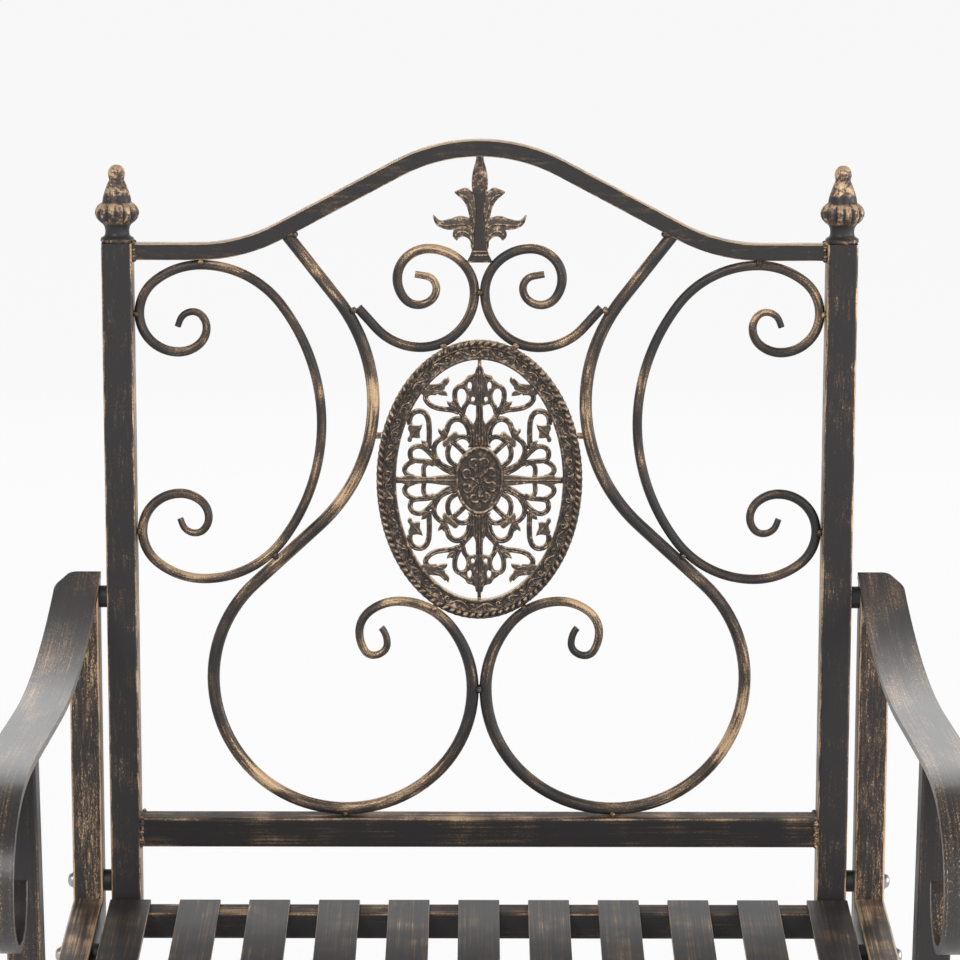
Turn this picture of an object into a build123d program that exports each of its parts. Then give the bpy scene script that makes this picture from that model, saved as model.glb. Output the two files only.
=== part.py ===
from build123d import *
import math
import os

# A bolted garden armchair of painted steel. The back is a welded panel of scrollwork round a cast
# medallion. It hangs between two welded side frames (legs and arm), and a slatted seat panel is
# bolted between the same frames. Front is -Y, up is +Z, all sizes in millimetres and degrees.

os.makedirs("parts", exist_ok=True)

# Back panel. Heights on it are measured along the panel from the centre of the medallion.
medallion_height = 745.0
back_recline = 6.0
back_inner_width = 496.0
post_size = 22.0
post_wall = 1.5
post_corner = 2.5
post_rise = 172.5
post_drop = 318.0
rail_drop = 250.0
weld_gap = 0.4
tack_radius = 1.7
least_corner = 0.4
overshoot = 1.0

# Arched top rail, bent from square bar
arch_bar = 12.0
arch_foot = 166.2
arch_rise = 74.3
arch_radius = 124.0
arch_angle = 28.0

# Finials
finial_collar = 24.0
finial_collar_thick = 4.2
finial_neck = 15.6
finial_bulb = 31.6
finial_cone = 22.4
finial_waist = 10.8
finial_ball = 12.2
finial_height = 55.6
finial_neck_rise = 5.0
finial_bulb_rise = 17.2
finial_bulb_half = 7.2
finial_swell = 0.4
finial_flutes = 14
finial_flute = 1.35
finial_spigot = 12.0
finial_play = 0.2

# Outer scrolls: both ends curl alike, measured inward from the post and from the lobe's far side
outer_rod = 7.0
outer_tip = 4.6
outer_reach = 134.2
outer_middle = 42.0
outer_lobe_in = 48.5
outer_touch = 35.2
outer_back_in = 31.6
outer_back = 63.0
outer_eye_in = 52.0
outer_eye = 45.4
outer_end_in = 42.2
outer_end = 33.8
outer_tail_radius = 10.0
outer_tail_turn = 70.0
outer_tail_run = 4.5

# Lyre rods
lyre_rod = 9.0
lyre_tip = 5.0
lyre_head = 141.0
lyre_waist = 57.0
lyre_bend = 0.927
lyre_bend_split = 0.56
lyre_loop_in = 54.2
lyre_loop_side = -147.0
lyre_loop_foot = 98.0
lyre_loop_inner = -155.0
lyre_hump = 58.5
lyre_curl_out = 87.3
lyre_curl_side = 23.3
lyre_curl_foot = 77.0
lyre_curl_drop = 40.3
lyre_curl_in = 67.0
lyre_curl_rise = 31.3
lyre_tail_radius = 18.0
lyre_tail_turn = 40.0

# Upper inner scrolls
inner_rod = 7.0
inner_tip = 5.0
inner_lean = 48.0
inner_lobe = 42.5
inner_lobe_radius = 43.0
inner_touch = 39.7
inner_top = 36.5
inner_top_rise = 71.3
inner_out = 59.0
inner_out_rise = 49.7
inner_curl = 44.0
inner_curl_rise = 30.7
inner_eye = 31.0
inner_eye_rise = 42.7
inner_tail_radius = 9.0
inner_tail_turn = 80.0
inner_tail_run = 8.0

# Cast medallion and its pins
medallion_width = 149.4
medallion_tall = 205.4
medallion_thick = 9.0
ring_band = 14.5
ring_rim = 4.6
ring_field_thick = 6.0
ring_lip = 1.8
filigree_thick = 4.5
boss_width = 35.5
boss_tall = 50.2
boss_rim = 2.6
boss_thick = 8.5
boss_field_thick = 6.5
pin_length = 3.4
pin_rod = 4.6

# Cast fleur-de-lis
fleur_thick = 6.0
fleur_seat = 6.8
fleur_collar_width = 18.0
fleur_collar_tall = 9.6

# Side frames
leg_size = 22.0
leg_wall = 1.5
leg_corner = 2.5
leg_bend_height = 372.0
leg_bend_radius = 60.0
leg_rake = 8.0
leg_pitch = 401.0
panel_gap = 6.0
arm_width = 32.0
arm_thick = 5.0
arm_height = 671.5
arm_tail = 2.0
arm_clip_wide = 10.0
arm_clip_long = 20.0
arm_dip = 13.0
arm_dip_run = 8.0
arm_dip_radius = 700.0
arm_climb = 9.0
arm_climb_run = 150.0
arm_crest_radius = 350.0
arm_roll_radius = 110.0
arm_roll_turn = 25.0
arm_volute_radius = 45.0
arm_volute_step = 8.0
arm_volute_turns = 3

# Seat panel
seat_height = 440.0
seat_tube = 20.0
seat_clear = 8.0
slat_count = 11
slat_width = 30.0
slat_thick = 3.0
slat_roll_radius = 12.0
slat_drop = 8.0
cross_bar_tall = 25.0
cross_bar_thick = 5.0

# Bolts, washers, spacers, weld nuts and plugs
bolt_size = 6.0
bolt_play = 0.5
bolt_head = 10.5
bolt_head_thick = 3.4
bolt_tail = 1.5
thread_play = 0.1
nut_across = 10.0
nut_thick = 5.0
washer_size = 12.0
washer_thick = 1.2
spacer_size = 16.0
washer_clear = 0.8
back_bolt_above_end = 18.0
seat_bolt_front = 45.0
seat_bolt_rear = 90.0
plug_flange = 3.0
plug_depth = 15.0
post_plug_depth = 9.0
plug_play = 0.2


class Route:
    """Flat route of a bent bar: straight runs and tangent arcs, laid end to end."""

    def __init__(self, x, y, heading):
        self.x = x
        self.y = y
        self.heading = heading
        self.edges = []
        self.trail = [(x, y)]
        self.marks = [0]

    def run(self, length):
        angle = math.radians(self.heading)
        start = (self.x, self.y)
        steps = max(1, int(length / 3))
        for step in range(1, steps + 1):
            self.x = start[0] + length * step / steps * math.cos(angle)
            self.y = start[1] + length * step / steps * math.sin(angle)
            self.trail.append((self.x, self.y))
        self.edges.append(Line(start, (self.x, self.y)))
        self.marks.append(len(self.trail) - 1)
        return self

    def arc(self, radius, turn):
        angle = math.radians(self.heading)
        side = math.copysign(1, turn)
        tangent = (math.cos(angle), math.sin(angle))
        self.edges.append(JernArc((self.x, self.y), tangent, radius, turn))
        cx = self.x - side * radius * math.sin(angle)
        cy = self.y + side * radius * math.cos(angle)
        steps = max(4, int(abs(turn) / 3))
        for step in range(1, steps + 1):
            swept = angle + math.radians(turn) * step / steps
            self.x = cx + side * radius * math.sin(swept)
            self.y = cy - side * radius * math.cos(swept)
            self.trail.append((self.x, self.y))
        self.heading += turn
        self.marks.append(len(self.trail) - 1)
        return self

    def quarter(self, x, y, side):
        """A quarter turn to the left (side 1) or right (side -1) that ends at x, y."""
        angle = math.radians(self.heading)
        dx = x - self.x
        dy = y - self.y
        ahead = dx * math.cos(angle) + dy * math.sin(angle)
        aside = side * (dy * math.cos(angle) - dx * math.sin(angle))
        split = math.atan2(aside, ahead)
        scale = math.hypot(ahead, aside) / (math.sin(split) + math.cos(split) - 1)
        self.arc(scale * (1 - math.sin(split)), side * math.degrees(split))
        self.arc(scale * (1 - math.cos(split)), side * (90 - math.degrees(split)))
        return self

    def diameters(self, full, start_tip=None, start_count=0, end_tip=None, end_count=0):
        """Bar diameter at each mark, drawn down evenly over the first and last stretches."""
        lengths = [edge.length for edge in self.edges]
        sizes = [full] * len(self.marks)
        if start_count:
            total = sum(lengths[:start_count])
            for index in range(start_count):
                done = sum(lengths[:index]) / total
                sizes[index] = start_tip + (full - start_tip) * done
        if end_count:
            total = sum(lengths[-end_count:])
            first = len(lengths) - end_count
            for index in range(first, len(lengths) + 1):
                done = sum(lengths[first:index]) / total
                sizes[index] = full + (end_tip - full) * done
        self.sizes = sizes
        return self

    def reach(self):
        """Points along the route with the bar's radius at each."""
        found = []
        for index in range(len(self.marks) - 1):
            first, last = self.marks[index], self.marks[index + 1]
            for place in range(first, last + 1):
                share = (place - first) / (last - first)
                size = self.sizes[index] + (self.sizes[index + 1] - self.sizes[index]) * share
                found.append((*self.trail[place], size / 2))
        return found

    def bar(self):
        """Round bar along the route, with drawn-down ends."""
        pieces = []
        index = 0
        while index < len(self.edges):
            last = index + 1
            level = self.sizes[index] == self.sizes[last]
            while level and last < len(self.edges) and self.sizes[last + 1] == self.sizes[index]:
                last += 1
            path = Wire(self.edges[index:last])
            start = Plane(path @ 0, z_dir=path % 0) * Circle(self.sizes[index] / 2)
            if level:
                pieces.append(sweep(start, path))
            else:
                end = Plane(path @ 1, z_dir=path % 1) * Circle(self.sizes[last] / 2)
                pieces.append(sweep([start, end], path, multisection=True))
            index = last
        whole = pieces[0]
        for piece in pieces[1:]:
            whole = whole + piece
        return whole

    def strip(self, thick):
        """Flat section of a strip bent along the route."""
        return trace(Wire(self.edges), thick)


def arriving(x, y, heading, length, radius, turn):
    """A route that begins with a run and an arc and comes to x, y with the given heading."""
    side = math.copysign(1, turn)
    angle = math.radians(heading)
    cx = x - side * radius * math.sin(angle)
    cy = y + side * radius * math.cos(angle)
    first = math.radians(heading - turn)
    start_x = cx + side * radius * math.sin(first) - length * math.cos(first)
    start_y = cy - side * radius * math.cos(first) - length * math.sin(first)
    return Route(start_x, start_y, heading - turn).run(length).arc(radius, turn)


def onto_circle(x, y, cx, cy, radius, side):
    """Heading and length of the run from x, y that meets a circle on its left (1) or right (-1)."""
    away = math.hypot(cx - x, cy - y)
    heading = math.atan2(cy - y, cx - x) - side * math.asin(radius / away)
    return math.remainder(math.degrees(heading), 360), math.sqrt(away**2 - radius**2)


def between_circles(first, second, first_radius, second_radius):
    """Heading and length of the run from a circle on its left to one on its right."""
    dx = second[0] - first[0]
    dy = second[1] - first[1]
    away = math.hypot(dx, dy)
    heading = math.atan2(dy, dx) + math.asin((first_radius + second_radius) / away)
    length = math.sqrt(away**2 - (first_radius + second_radius) ** 2)
    return math.remainder(math.degrees(heading), 360), length


def nearest(some, others):
    """Gap from a row of points to a line of points with radii, its middle, direction, first radius."""
    best = None
    for (bx, by, br), (ex, ey, er) in zip(others, others[1:]):
        dx = ex - bx
        dy = ey - by
        square = dx * dx + dy * dy
        for ax, ay, ar in some if square else []:
            share = min(max(((ax - bx) * dx + (ay - by) * dy) / square, 0), 1)
            px = bx + share * dx - ax
            py = by + share * dy - ay
            away = math.hypot(px, py)
            gap = away - ar - br - share * (er - br)
            if best is None or gap < best[0]:
                middle = (ar + gap / 2) / away
                best = (gap, ax + px * middle, ay + py * middle, (px / away, py / away), ar)
    return best


def settle(make, low, high, others, gap):
    """The value at which make(value) lies at the given gap from the others; low is clear of them."""
    for _ in range(22):
        middle = (low + high) / 2
        if nearest(make(middle).reach(), others)[0] > gap:
            low = middle
        else:
            high = middle
    return low


def square_tube(size, wall, corner):
    outer = RectangleRounded(size, size, corner)
    inner = RectangleRounded(size - 2 * wall, size - 2 * wall, max(corner - wall, least_corner))
    return outer - inner


def slab(flat, thick):
    """A flat outline made into a plate, half to each side of its plane."""
    return extrude(flat, thick / 2, both=True)


def mirrored(piece):
    return mirror(piece, Plane.YZ)


# Anchors of the back panel, in its own plane
inner_half = back_inner_width / 2
post_middle = inner_half + post_size / 2
panel_half = inner_half + post_size
rail_middle = -rail_drop - post_size / 2
arch_under = arch_foot - arch_bar / 2
arch_bend = 2 * arch_radius * (1 - math.cos(math.radians(arch_angle)))
arch_slope = (arch_rise - arch_bend) / math.sin(math.radians(arch_angle))
arch_run = (
    inner_half
    - 2 * arch_radius * math.sin(math.radians(arch_angle))
    - arch_slope * math.cos(math.radians(arch_angle))
)
oval_wide = medallion_width / 2
oval_tall = medallion_tall / 2
oval_edge = [
    (oval_wide * math.cos(math.radians(step)), oval_tall * math.sin(math.radians(step)), 0)
    for step in range(-90, 91, 1)
]
oval_low = oval_edge[:45]
oval_high = oval_edge[100:]

# Top rail: straight at the posts, rising in two easy bends to the crown
arch_route = Route(-inner_half, arch_foot, 0).run(arch_run).arc(arch_radius, arch_angle).run(arch_slope)
arch_route.arc(arch_radius, -2 * arch_angle).run(arch_slope).arc(arch_radius, arch_angle).run(arch_run)
top_rail = slab(arch_route.strip(arch_bar), arch_bar)


def arch_line(x):
    """Height of the top rail's middle line at x."""
    trail = arch_route.trail
    for (ax, ay), (bx, by) in zip(trail, trail[1:]):
        if ax <= x <= bx:
            return ay + (by - ay) * (x - ax) / (bx - ax)


# Lyre rod: from the top rail past the medallion into the lower loop and its curl
def lyre_upper(waist):
    loop_side = inner_half - lyre_loop_in
    across = loop_side - waist
    down = lyre_waist - lyre_loop_side
    both_radii = lyre_bend * (across**2 + down**2) / (2 * across)
    waist_radius = both_radii * lyre_bend_split
    loop_radius = both_radii - waist_radius
    centre = (waist + waist_radius, lyre_waist)
    loop = (loop_side - loop_radius, lyre_loop_side)
    head = (lyre_head, arch_line(lyre_head))
    heading, length = onto_circle(*head, *centre, waist_radius, 1)
    cross, cross_length = between_circles(centre, loop, waist_radius, loop_radius)
    route = Route(*head, heading).run(length).arc(waist_radius, cross - heading).run(cross_length)
    route.arc(loop_radius, -90 - cross)
    return route.diameters(lyre_rod)


def lyre_whole(hump_height):
    route = lyre_upper(waist_place)
    route.quarter(lyre_loop_foot, -rail_drop + weld_gap + lyre_rod / 2, -1)
    route.quarter((lyre_rod + weld_gap) / 2, lyre_loop_inner, -1)
    route.quarter(lyre_hump, hump_height, -1)
    route.quarter(lyre_curl_out, hump_height - lyre_curl_side, -1)
    route.quarter(lyre_curl_foot, hump_height - lyre_curl_drop, -1)
    route.quarter(lyre_curl_in, hump_height - lyre_curl_rise, -1)
    route.arc(lyre_tail_radius, -lyre_tail_turn)
    return route.diameters(lyre_rod, end_tip=lyre_tip, end_count=9)


waist_place = settle(lyre_upper, oval_wide + 60, oval_wide - 30, oval_edge, pin_length)
hump_place = settle(lyre_whole, -oval_tall - 20, -oval_tall + 40, oval_low, weld_gap)
lyre_route = lyre_whole(hump_place)
lyre_reach = lyre_upper(waist_place).reach()
lyre_right = lyre_route.bar() - top_rail


# Upper inner scroll: leans on the lyre rod, turns under to the medallion and curls back on itself
def inner_whole(lobe_height, tail):
    lean_angle = math.radians(inner_lean)
    x = inner_lobe + inner_lobe_radius * math.sin(lean_angle) + tail * math.cos(lean_angle)
    y = lobe_height + inner_lobe_radius * (1 - math.cos(lean_angle)) + tail * math.sin(lean_angle)
    route = Route(x, y, 180 + inner_lean).run(tail).arc(inner_lobe_radius, -inner_lean)
    route.quarter((inner_rod + weld_gap) / 2, lobe_height + inner_touch, -1)
    route.quarter(inner_top, lobe_height + inner_top_rise, -1)
    route.quarter(inner_out, lobe_height + inner_out_rise, -1)
    route.quarter(inner_curl, lobe_height + inner_curl_rise, -1)
    route.quarter(inner_eye, lobe_height + inner_eye_rise, -1)
    route.arc(inner_tail_radius, -inner_tail_turn).run(inner_tail_run)
    return route.diameters(inner_rod, end_tip=inner_tip, end_count=6)


def inner_over(lobe_height):
    return inner_whole(lobe_height, inner_rod)


def inner_beside(tail):
    return inner_whole(lobe_place, tail)


lobe_place = settle(inner_over, oval_tall + 15, oval_tall - 30, oval_high, weld_gap)
tail_place = settle(inner_beside, 0.5, 2 * inner_lobe_radius, lyre_reach, weld_gap)
inner_route = inner_whole(lobe_place, tail_place)
inner_right = inner_route.bar()


# Outer scroll: a long C between post, top rail and lyre rod
def outer_whole(foot_height):
    top = arch_under - weld_gap - outer_rod / 2
    side = inner_half - weld_gap - outer_rod / 2
    start = (inner_half - outer_end_in, top - outer_end)
    route = arriving(*start, 180, outer_tail_run, outer_tail_radius, outer_tail_turn)
    route.quarter(inner_half - outer_eye_in, top - outer_eye, 1)
    route.quarter(inner_half - outer_back_in, top - outer_back, 1)
    route.quarter(side, top - outer_touch, 1)
    route.quarter(inner_half - outer_lobe_in, top, 1)
    route.quarter(inner_half - outer_reach, outer_middle, 1)
    route.quarter(inner_half - outer_lobe_in, foot_height, 1)
    route.quarter(side, foot_height + outer_touch, 1)
    route.quarter(inner_half - outer_back_in, foot_height + outer_back, 1)
    route.quarter(inner_half - outer_eye_in, foot_height + outer_eye, 1)
    route.quarter(inner_half - outer_end_in, foot_height + outer_end, 1)
    route.arc(outer_tail_radius, outer_tail_turn).run(outer_tail_run)
    return route.diameters(outer_rod, outer_tip, 6, outer_tip, 6)


foot_place = settle(outer_whole, outer_middle - 60, outer_middle - 180, lyre_reach, weld_gap)
outer_route = outer_whole(foot_place)
outer_right = outer_route.bar()

# Cast medallion: rimmed oval ring, boss, and a filigree drawn in one quarter and mirrored twice
ring_wide = oval_wide - ring_band
ring_tall = oval_tall - ring_band


def oval_band(wide, tall, band):
    return Ellipse(wide, tall) - Ellipse(wide - band, tall - band)


def stroke(width, *places):
    """A cast tendril through three places."""
    return trace(ThreePointArc(*places), width)


def loop(x, y, wide, tall, band):
    return Pos(x, y) * oval_band(wide, tall, band)


def leaf(*places):
    return make_face(Polyline(*places, close=True))


boss_half = boss_width / 2
boss_up = boss_tall / 2
upright = [
    leaf(
        (0, boss_up - 4),
        (4.2, boss_up - 1),
        (2.2, 40),
        (2, 52),
        (4, 65),
        (2.4, 74),
        (1, ring_tall + 1),
        (0, ring_tall + 1),
    ),
    loop(15.2, 37.5, 7.8, 6.9, 3),
    loop(13.3, 61.3, 5.4, 7.4, 2.8),
    loop(6.4, 70, 3.8, 7, 2.6),
    stroke(3.4, (3, boss_up), (7, 40), (15, 50.5)),
    stroke(3, (9.6, 45), (8.6, 50), (10, 56)),
    stroke(3, (14, 50), (24, 52.4), (33, 53)),
    stroke(3, (33, 53), (38.9, 58.5), (34, 63.8)),
    stroke(2.6, (34, 63.8), (30.4, 62.6), (30, 59)),
    leaf((33, 62), (40, 67.5), (35, 71.5), (30, 71.5), (22.3, 76), (25.3, 70.5), (23.5, 66.8), (29, 67.5)),
]
sideways = [
    leaf(
        (boss_half - 4, 0),
        (boss_half - 1, 2.6),
        (32, 1.8),
        (47, 2.8),
        (53, 3.8),
        (57, 2),
        (ring_wide + 1, 1.2),
        (ring_wide + 1, 0),
    ),
    loop(43.6, 20.2, 7, 5.3, 2.8),
    loop(47.2, 7, 7, 5.6, 2.6),
    stroke(3.6, (boss_half - 2.5, 7), (27, 11), (37, 22)),
    stroke(2.6, (40.3, 1.5), (39, 9), (41, 15.5)),
    stroke(3, (37, 21), (36.4, 30), (35.8, 40)),
    stroke(3, (35.8, 40), (41.5, 50), (50, 46.5)),
    stroke(2.8, (50, 46.5), (51.8, 42), (48, 38)),
    leaf((50, 42), (51.8, 37), (51.5, 29), (46.5, 33.5), (41.5, 35), (44.5, 38.8)),
]
diagonal = [
    stroke(3.2, (8.5, boss_up - 4), (15, 27.5), (22, 30.5)),
    stroke(3, (boss_half - 1, 12), (23.3, 19), (22.5, 31)),
    stroke(2.8, (34, 18.5), (32.6, 27), (24, 30)),
    trace(Line((18.5, 34.2), (26.6, 26)), 4),
    leaf((21.5, 32.5), (28.6, 39), (27, 29)),
]
quarter_web = upright[0] + upright[1:] + sideways + diagonal
half_web = quarter_web + mirror(quarter_web, Plane.YZ)
web = half_web + mirror(half_web, Plane.XZ)
ring_field = oval_band(oval_wide, oval_tall, ring_band)
ring_edge = oval_band(oval_wide, oval_tall, ring_rim)
ring_inner = oval_band(ring_wide + ring_lip, ring_tall + ring_lip, ring_lip)
medallion = slab(web, filigree_thick) + slab(ring_field, ring_field_thick)
medallion = medallion + slab(ring_edge + ring_inner, medallion_thick)
medallion = medallion + slab(Ellipse(boss_half, boss_up), boss_field_thick)
medallion = medallion + slab(oval_band(boss_half, boss_up, boss_rim), boss_thick)

# Pins that hold the medallion between the lyre rods
pin_x, pin_y = nearest(lyre_reach, oval_edge)[1:3]
pin_blank = Pos(pin_x, pin_y) * Rot(Y=90) * Cylinder(pin_rod / 2, 2 * pin_length + pin_rod)
pin_right = pin_blank - lyre_right - medallion

# Fleur-de-lis: stands on the inner scrolls, its spear reaching the crown
fleur_foot = inner_route.trail[inner_route.marks[2]][1] + inner_top_rise - inner_rod / 2 - fleur_seat
fleur_tip = arch_foot + arch_rise - arch_bar / 2
collar_top = fleur_foot + fleur_collar_tall
collar_half = fleur_collar_width / 2


def fleur_edge(*places):
    return ThreePointArc(*[(x, collar_top + y) for x, y in places])


fleur_outline = [
    Line((0, fleur_foot), (collar_half, fleur_foot)),
    Line((collar_half, fleur_foot), (4.8, collar_top)),
    fleur_edge((4.8, 0), (6.4, 7), (11, 10.2)),
    fleur_edge((11, 10.2), (14.4, 9.8), (16.5, 7)),
    fleur_edge((16.5, 7), (18.9, 10.4), (18.6, 14.4)),
    fleur_edge((18.6, 14.4), (27.5, 17), (33.3, 27)),
    fleur_edge((33.3, 27), (28.5, 23), (22, 23.6)),
    fleur_edge((22, 23.6), (14, 25.4), (6.2, 23.2)),
    fleur_edge((6.2, 23.2), (8.8, 34), (16.8, 42.4)),
    fleur_edge((16.8, 42.4), (11.6, 44.6), (6, 43.6)),
    ThreePointArc((6, collar_top + 43.6), (5, (collar_top + 43.6 + fleur_tip) / 2), (2.6, fleur_tip)),
    Line((2.6, fleur_tip), (0, fleur_tip)),
    Line((0, fleur_tip), (0, fleur_foot)),
]
fleur_half = make_face(Curve() + fleur_outline)
fleur = slab(fleur_half + mirror(fleur_half, Plane.YZ), fleur_thick)
fleur = fleur - inner_right - mirrored(inner_right) - top_rail

# Posts with finials
post_long = post_rise + post_drop
post_blank = extrude(square_tube(post_size, post_wall, post_corner), post_long)
post_right = Pos(post_middle, -post_drop) * Rot(X=-90) * post_blank
bottom_rail = Pos(-inner_half, rail_middle) * Rot(Y=90) * extrude(
    square_tube(post_size, post_wall, post_corner), back_inner_width
)

finial_neck_at = finial_collar_thick + finial_neck_rise
finial_bulb_at = finial_collar_thick + finial_bulb_rise
finial_bulb_low = finial_bulb_at - finial_bulb_half
finial_bulb_high = finial_bulb_at + finial_bulb_half
finial_ball_at = finial_height - finial_ball / 2
finial_waist_at = finial_ball_at - math.sqrt(finial_ball**2 - finial_waist**2) / 2
collar_edge = finial_collar / 2 - finial_collar_thick / 4
neck_top = finial_neck / 2 + finial_collar_thick / 4
bulb_arc = ThreePointArc(
    (neck_top, finial_bulb_low), (finial_bulb / 2, finial_bulb_at), (finial_cone / 2, finial_bulb_high)
)
cone_middle = ((finial_cone + finial_waist) / 4 + finial_swell, (finial_bulb_high + finial_waist_at) / 2)
finial_line = [
    Line((0, 0), (collar_edge, 0)),
    ThreePointArc(
        (collar_edge, 0), (finial_collar / 2, finial_collar_thick / 2), (collar_edge, finial_collar_thick)
    ),
    ThreePointArc(
        (collar_edge, finial_collar_thick), (finial_neck / 2, finial_neck_at), (neck_top, finial_bulb_low)
    ),
    bulb_arc,
    ThreePointArc((finial_cone / 2, finial_bulb_high), cone_middle, (finial_waist / 2, finial_waist_at)),
    ThreePointArc(
        (finial_waist / 2, finial_waist_at), (finial_ball / 2, finial_ball_at), (0, finial_height)
    ),
    Line((0, finial_height), (0, 0)),
]
finial_body = revolve(Plane.XZ * make_face(Curve() + finial_line), Axis.Z)
flute_path = Plane.XZ * offset(bulb_arc, finial_flute / 3, side=Side.LEFT, closed=False)
if (flute_path @ 0.5).X < finial_bulb / 2:
    flute_path = Plane.XZ * offset(bulb_arc, finial_flute / 3, side=Side.RIGHT, closed=False)
flute_start = Plane(flute_path @ 0, z_dir=flute_path % 0)
flute = sweep(flute_start * Circle(finial_flute), flute_path)
flutes = [Rot(Z=step * 360 / finial_flutes) * flute for step in range(finial_flutes)]
spigot_size = post_size - 2 * post_wall - 2 * finial_play
spigot = Pos(0, 0, -finial_spigot) * extrude(
    RectangleRounded(spigot_size, spigot_size, max(post_corner - post_wall, least_corner)), finial_spigot
)
finial = finial_body - flutes + spigot
finial_right = Pos(post_middle, post_rise) * Rot(X=-90) * finial

# Weld tacks: a bead before and behind each place where a rod meets its neighbour
def beads(place, normal, rod, other=None):
    """Beads that touch a rod and, past the gap along the normal, a second rod or a flat wall."""
    half_gap = weld_gap / 2
    if other is None:
        aside = half_gap - tack_radius
    else:
        aside = (rod - other) / 2 * (tack_radius - half_gap) / (weld_gap + (rod + other) / 2)
    out = math.sqrt((rod / 2 + tack_radius) ** 2 - (aside + half_gap + rod / 2) ** 2)
    x = place[0] + aside * normal[0]
    y = place[1] + aside * normal[1]
    return [Pos(x, y, side * out) * Sphere(tack_radius) for side in (1, -1)]


def touching(some, others):
    """Middle of the gap between two rows of points, and the direction across it."""
    gap, x, y, normal, radius = nearest(some, others)
    return (x, y), normal, 2 * radius


outer_top = arch_under - weld_gap / 2
outer_side = inner_half - weld_gap / 2
side_beads = beads((outer_side, outer_top - weld_gap / 2 - outer_rod / 2 - outer_touch), (1, 0), outer_rod)
side_beads += beads((inner_half - outer_lobe_in, outer_top), (0, 1), outer_rod)
side_beads += beads((outer_side, foot_place + outer_touch), (1, 0), outer_rod)
side_beads += beads((lyre_loop_foot, -rail_drop + weld_gap / 2), (0, -1), lyre_rod)
side_beads += beads(*touching(outer_route.reach(), lyre_reach), lyre_rod)
side_beads += beads(*touching(lyre_route.reach(), oval_low))
side_beads += beads(*touching(inner_route.reach(), oval_high))
side_beads += beads(*touching(inner_route.reach(), lyre_reach), lyre_rod)
tacks = side_beads + [mirrored(bead) for bead in side_beads]
tacks += beads((0, lobe_place + inner_touch), (1, 0), inner_rod, inner_rod)
tacks += beads((0, lyre_loop_inner), (1, 0), lyre_rod, lyre_rod)

# Where the panel stands: leaning back over the middle of the medallion
lean = math.radians(back_recline)
back_plane = Plane((0, 0, medallion_height), x_dir=(1, 0, 0), z_dir=(0, -math.cos(lean), math.sin(lean)))


def on_panel(x, height, front=0):
    """A place on the back panel, in the chair's own coordinates."""
    return back_plane.from_local_coords(Vector(x, height, front))


# Side frames: a bent rear leg along the post, a front leg, a seat rail and the arm strip on top
leg_inner = panel_half + panel_gap
leg_middle = leg_inner + leg_size / 2
leg_outer = leg_inner + leg_size
side_plane = Plane((0, 0, 0), x_dir=(0, 1, 0), z_dir=(1, 0, 0))
arm_axis_height = -(medallion_height - arm_height) / math.cos(lean)
arm_axis = on_panel(0, arm_axis_height)

arm_rear = arm_axis.Y + leg_size / 2 + arm_tail
arm_route = Route(arm_rear, arm_height, 180 + arm_dip).run(arm_dip_run)
arm_route.arc(arm_dip_radius, -arm_dip - arm_climb).run(arm_climb_run).arc(arm_crest_radius, arm_climb)
arm_route.arc(arm_roll_radius, arm_roll_turn).arc(arm_volute_radius, 90 - arm_roll_turn)
for step in range(1, arm_volute_turns):
    arm_route.arc(arm_volute_radius - step * arm_volute_step, 90)
arm_right = side_plane * (Pos(0, 0, leg_inner) * extrude(arm_route.strip(arm_thick), arm_width))
clip = Polyline(
    (leg_inner + arm_width - arm_clip_wide, arm_rear + arm_thick),
    (leg_inner + arm_width + arm_thick, arm_rear + arm_thick),
    (leg_inner + arm_width + arm_thick, arm_rear - arm_clip_long * (1 + arm_thick / arm_clip_wide)),
    (leg_inner + arm_width - arm_clip_wide, arm_rear),
    close=True,
)
arm_right = arm_right - Pos(0, 0, arm_height - arm_width) * extrude(make_face(clip), 2 * arm_width)


def arm_line(y):
    """Height of the arm strip's middle line at y."""
    trail = arm_route.trail
    for (ay, az), (by, bz) in zip(trail, trail[1:]):
        if by <= y <= ay:
            return az + (bz - az) * (y - ay) / (by - ay)


def tube_along(route, size):
    """Solid square bar of the given size and corner along a side-frame route."""
    path = Wire(route.edges)
    corner = leg_corner if size == leg_size else max(leg_corner - leg_wall, least_corner)
    start = Plane(path @ 0, x_dir=(0, 0, 1), z_dir=path % 0)
    return sweep(start * RectangleRounded(size, size, corner), path)


leg_bore = leg_size - 2 * leg_wall
rear_top = on_panel(0, arm_axis_height + leg_size)
rear_route = Route(rear_top.Y, rear_top.Z, -90 - back_recline)
rear_route.run((rear_top.Z - leg_bend_height) / math.cos(lean))
rear_route.arc(leg_bend_radius, back_recline + leg_rake)
rear_route.run(rear_route.y / math.cos(math.radians(leg_rake)) + leg_size)
rear_solid = side_plane * (Pos(0, 0, leg_middle) * tube_along(rear_route, leg_size))
rear_bore = side_plane * (Pos(0, 0, leg_middle) * tube_along(rear_route, leg_bore))

front_y = arm_axis.Y - leg_pitch
front_top = arm_line(front_y) + leg_size
front_route = Route(front_y, front_top, -90).run(front_top + leg_size)
front_solid = side_plane * (Pos(0, 0, leg_middle) * tube_along(front_route, leg_size))
front_bore = side_plane * (Pos(0, 0, leg_middle) * tube_along(front_route, leg_bore))


def layer(low, high):
    """Everything between two heights."""
    return Pos(0, 0, (low + high) / 2) * Box(4 * panel_half, 4 * panel_half, high - low)


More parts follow.
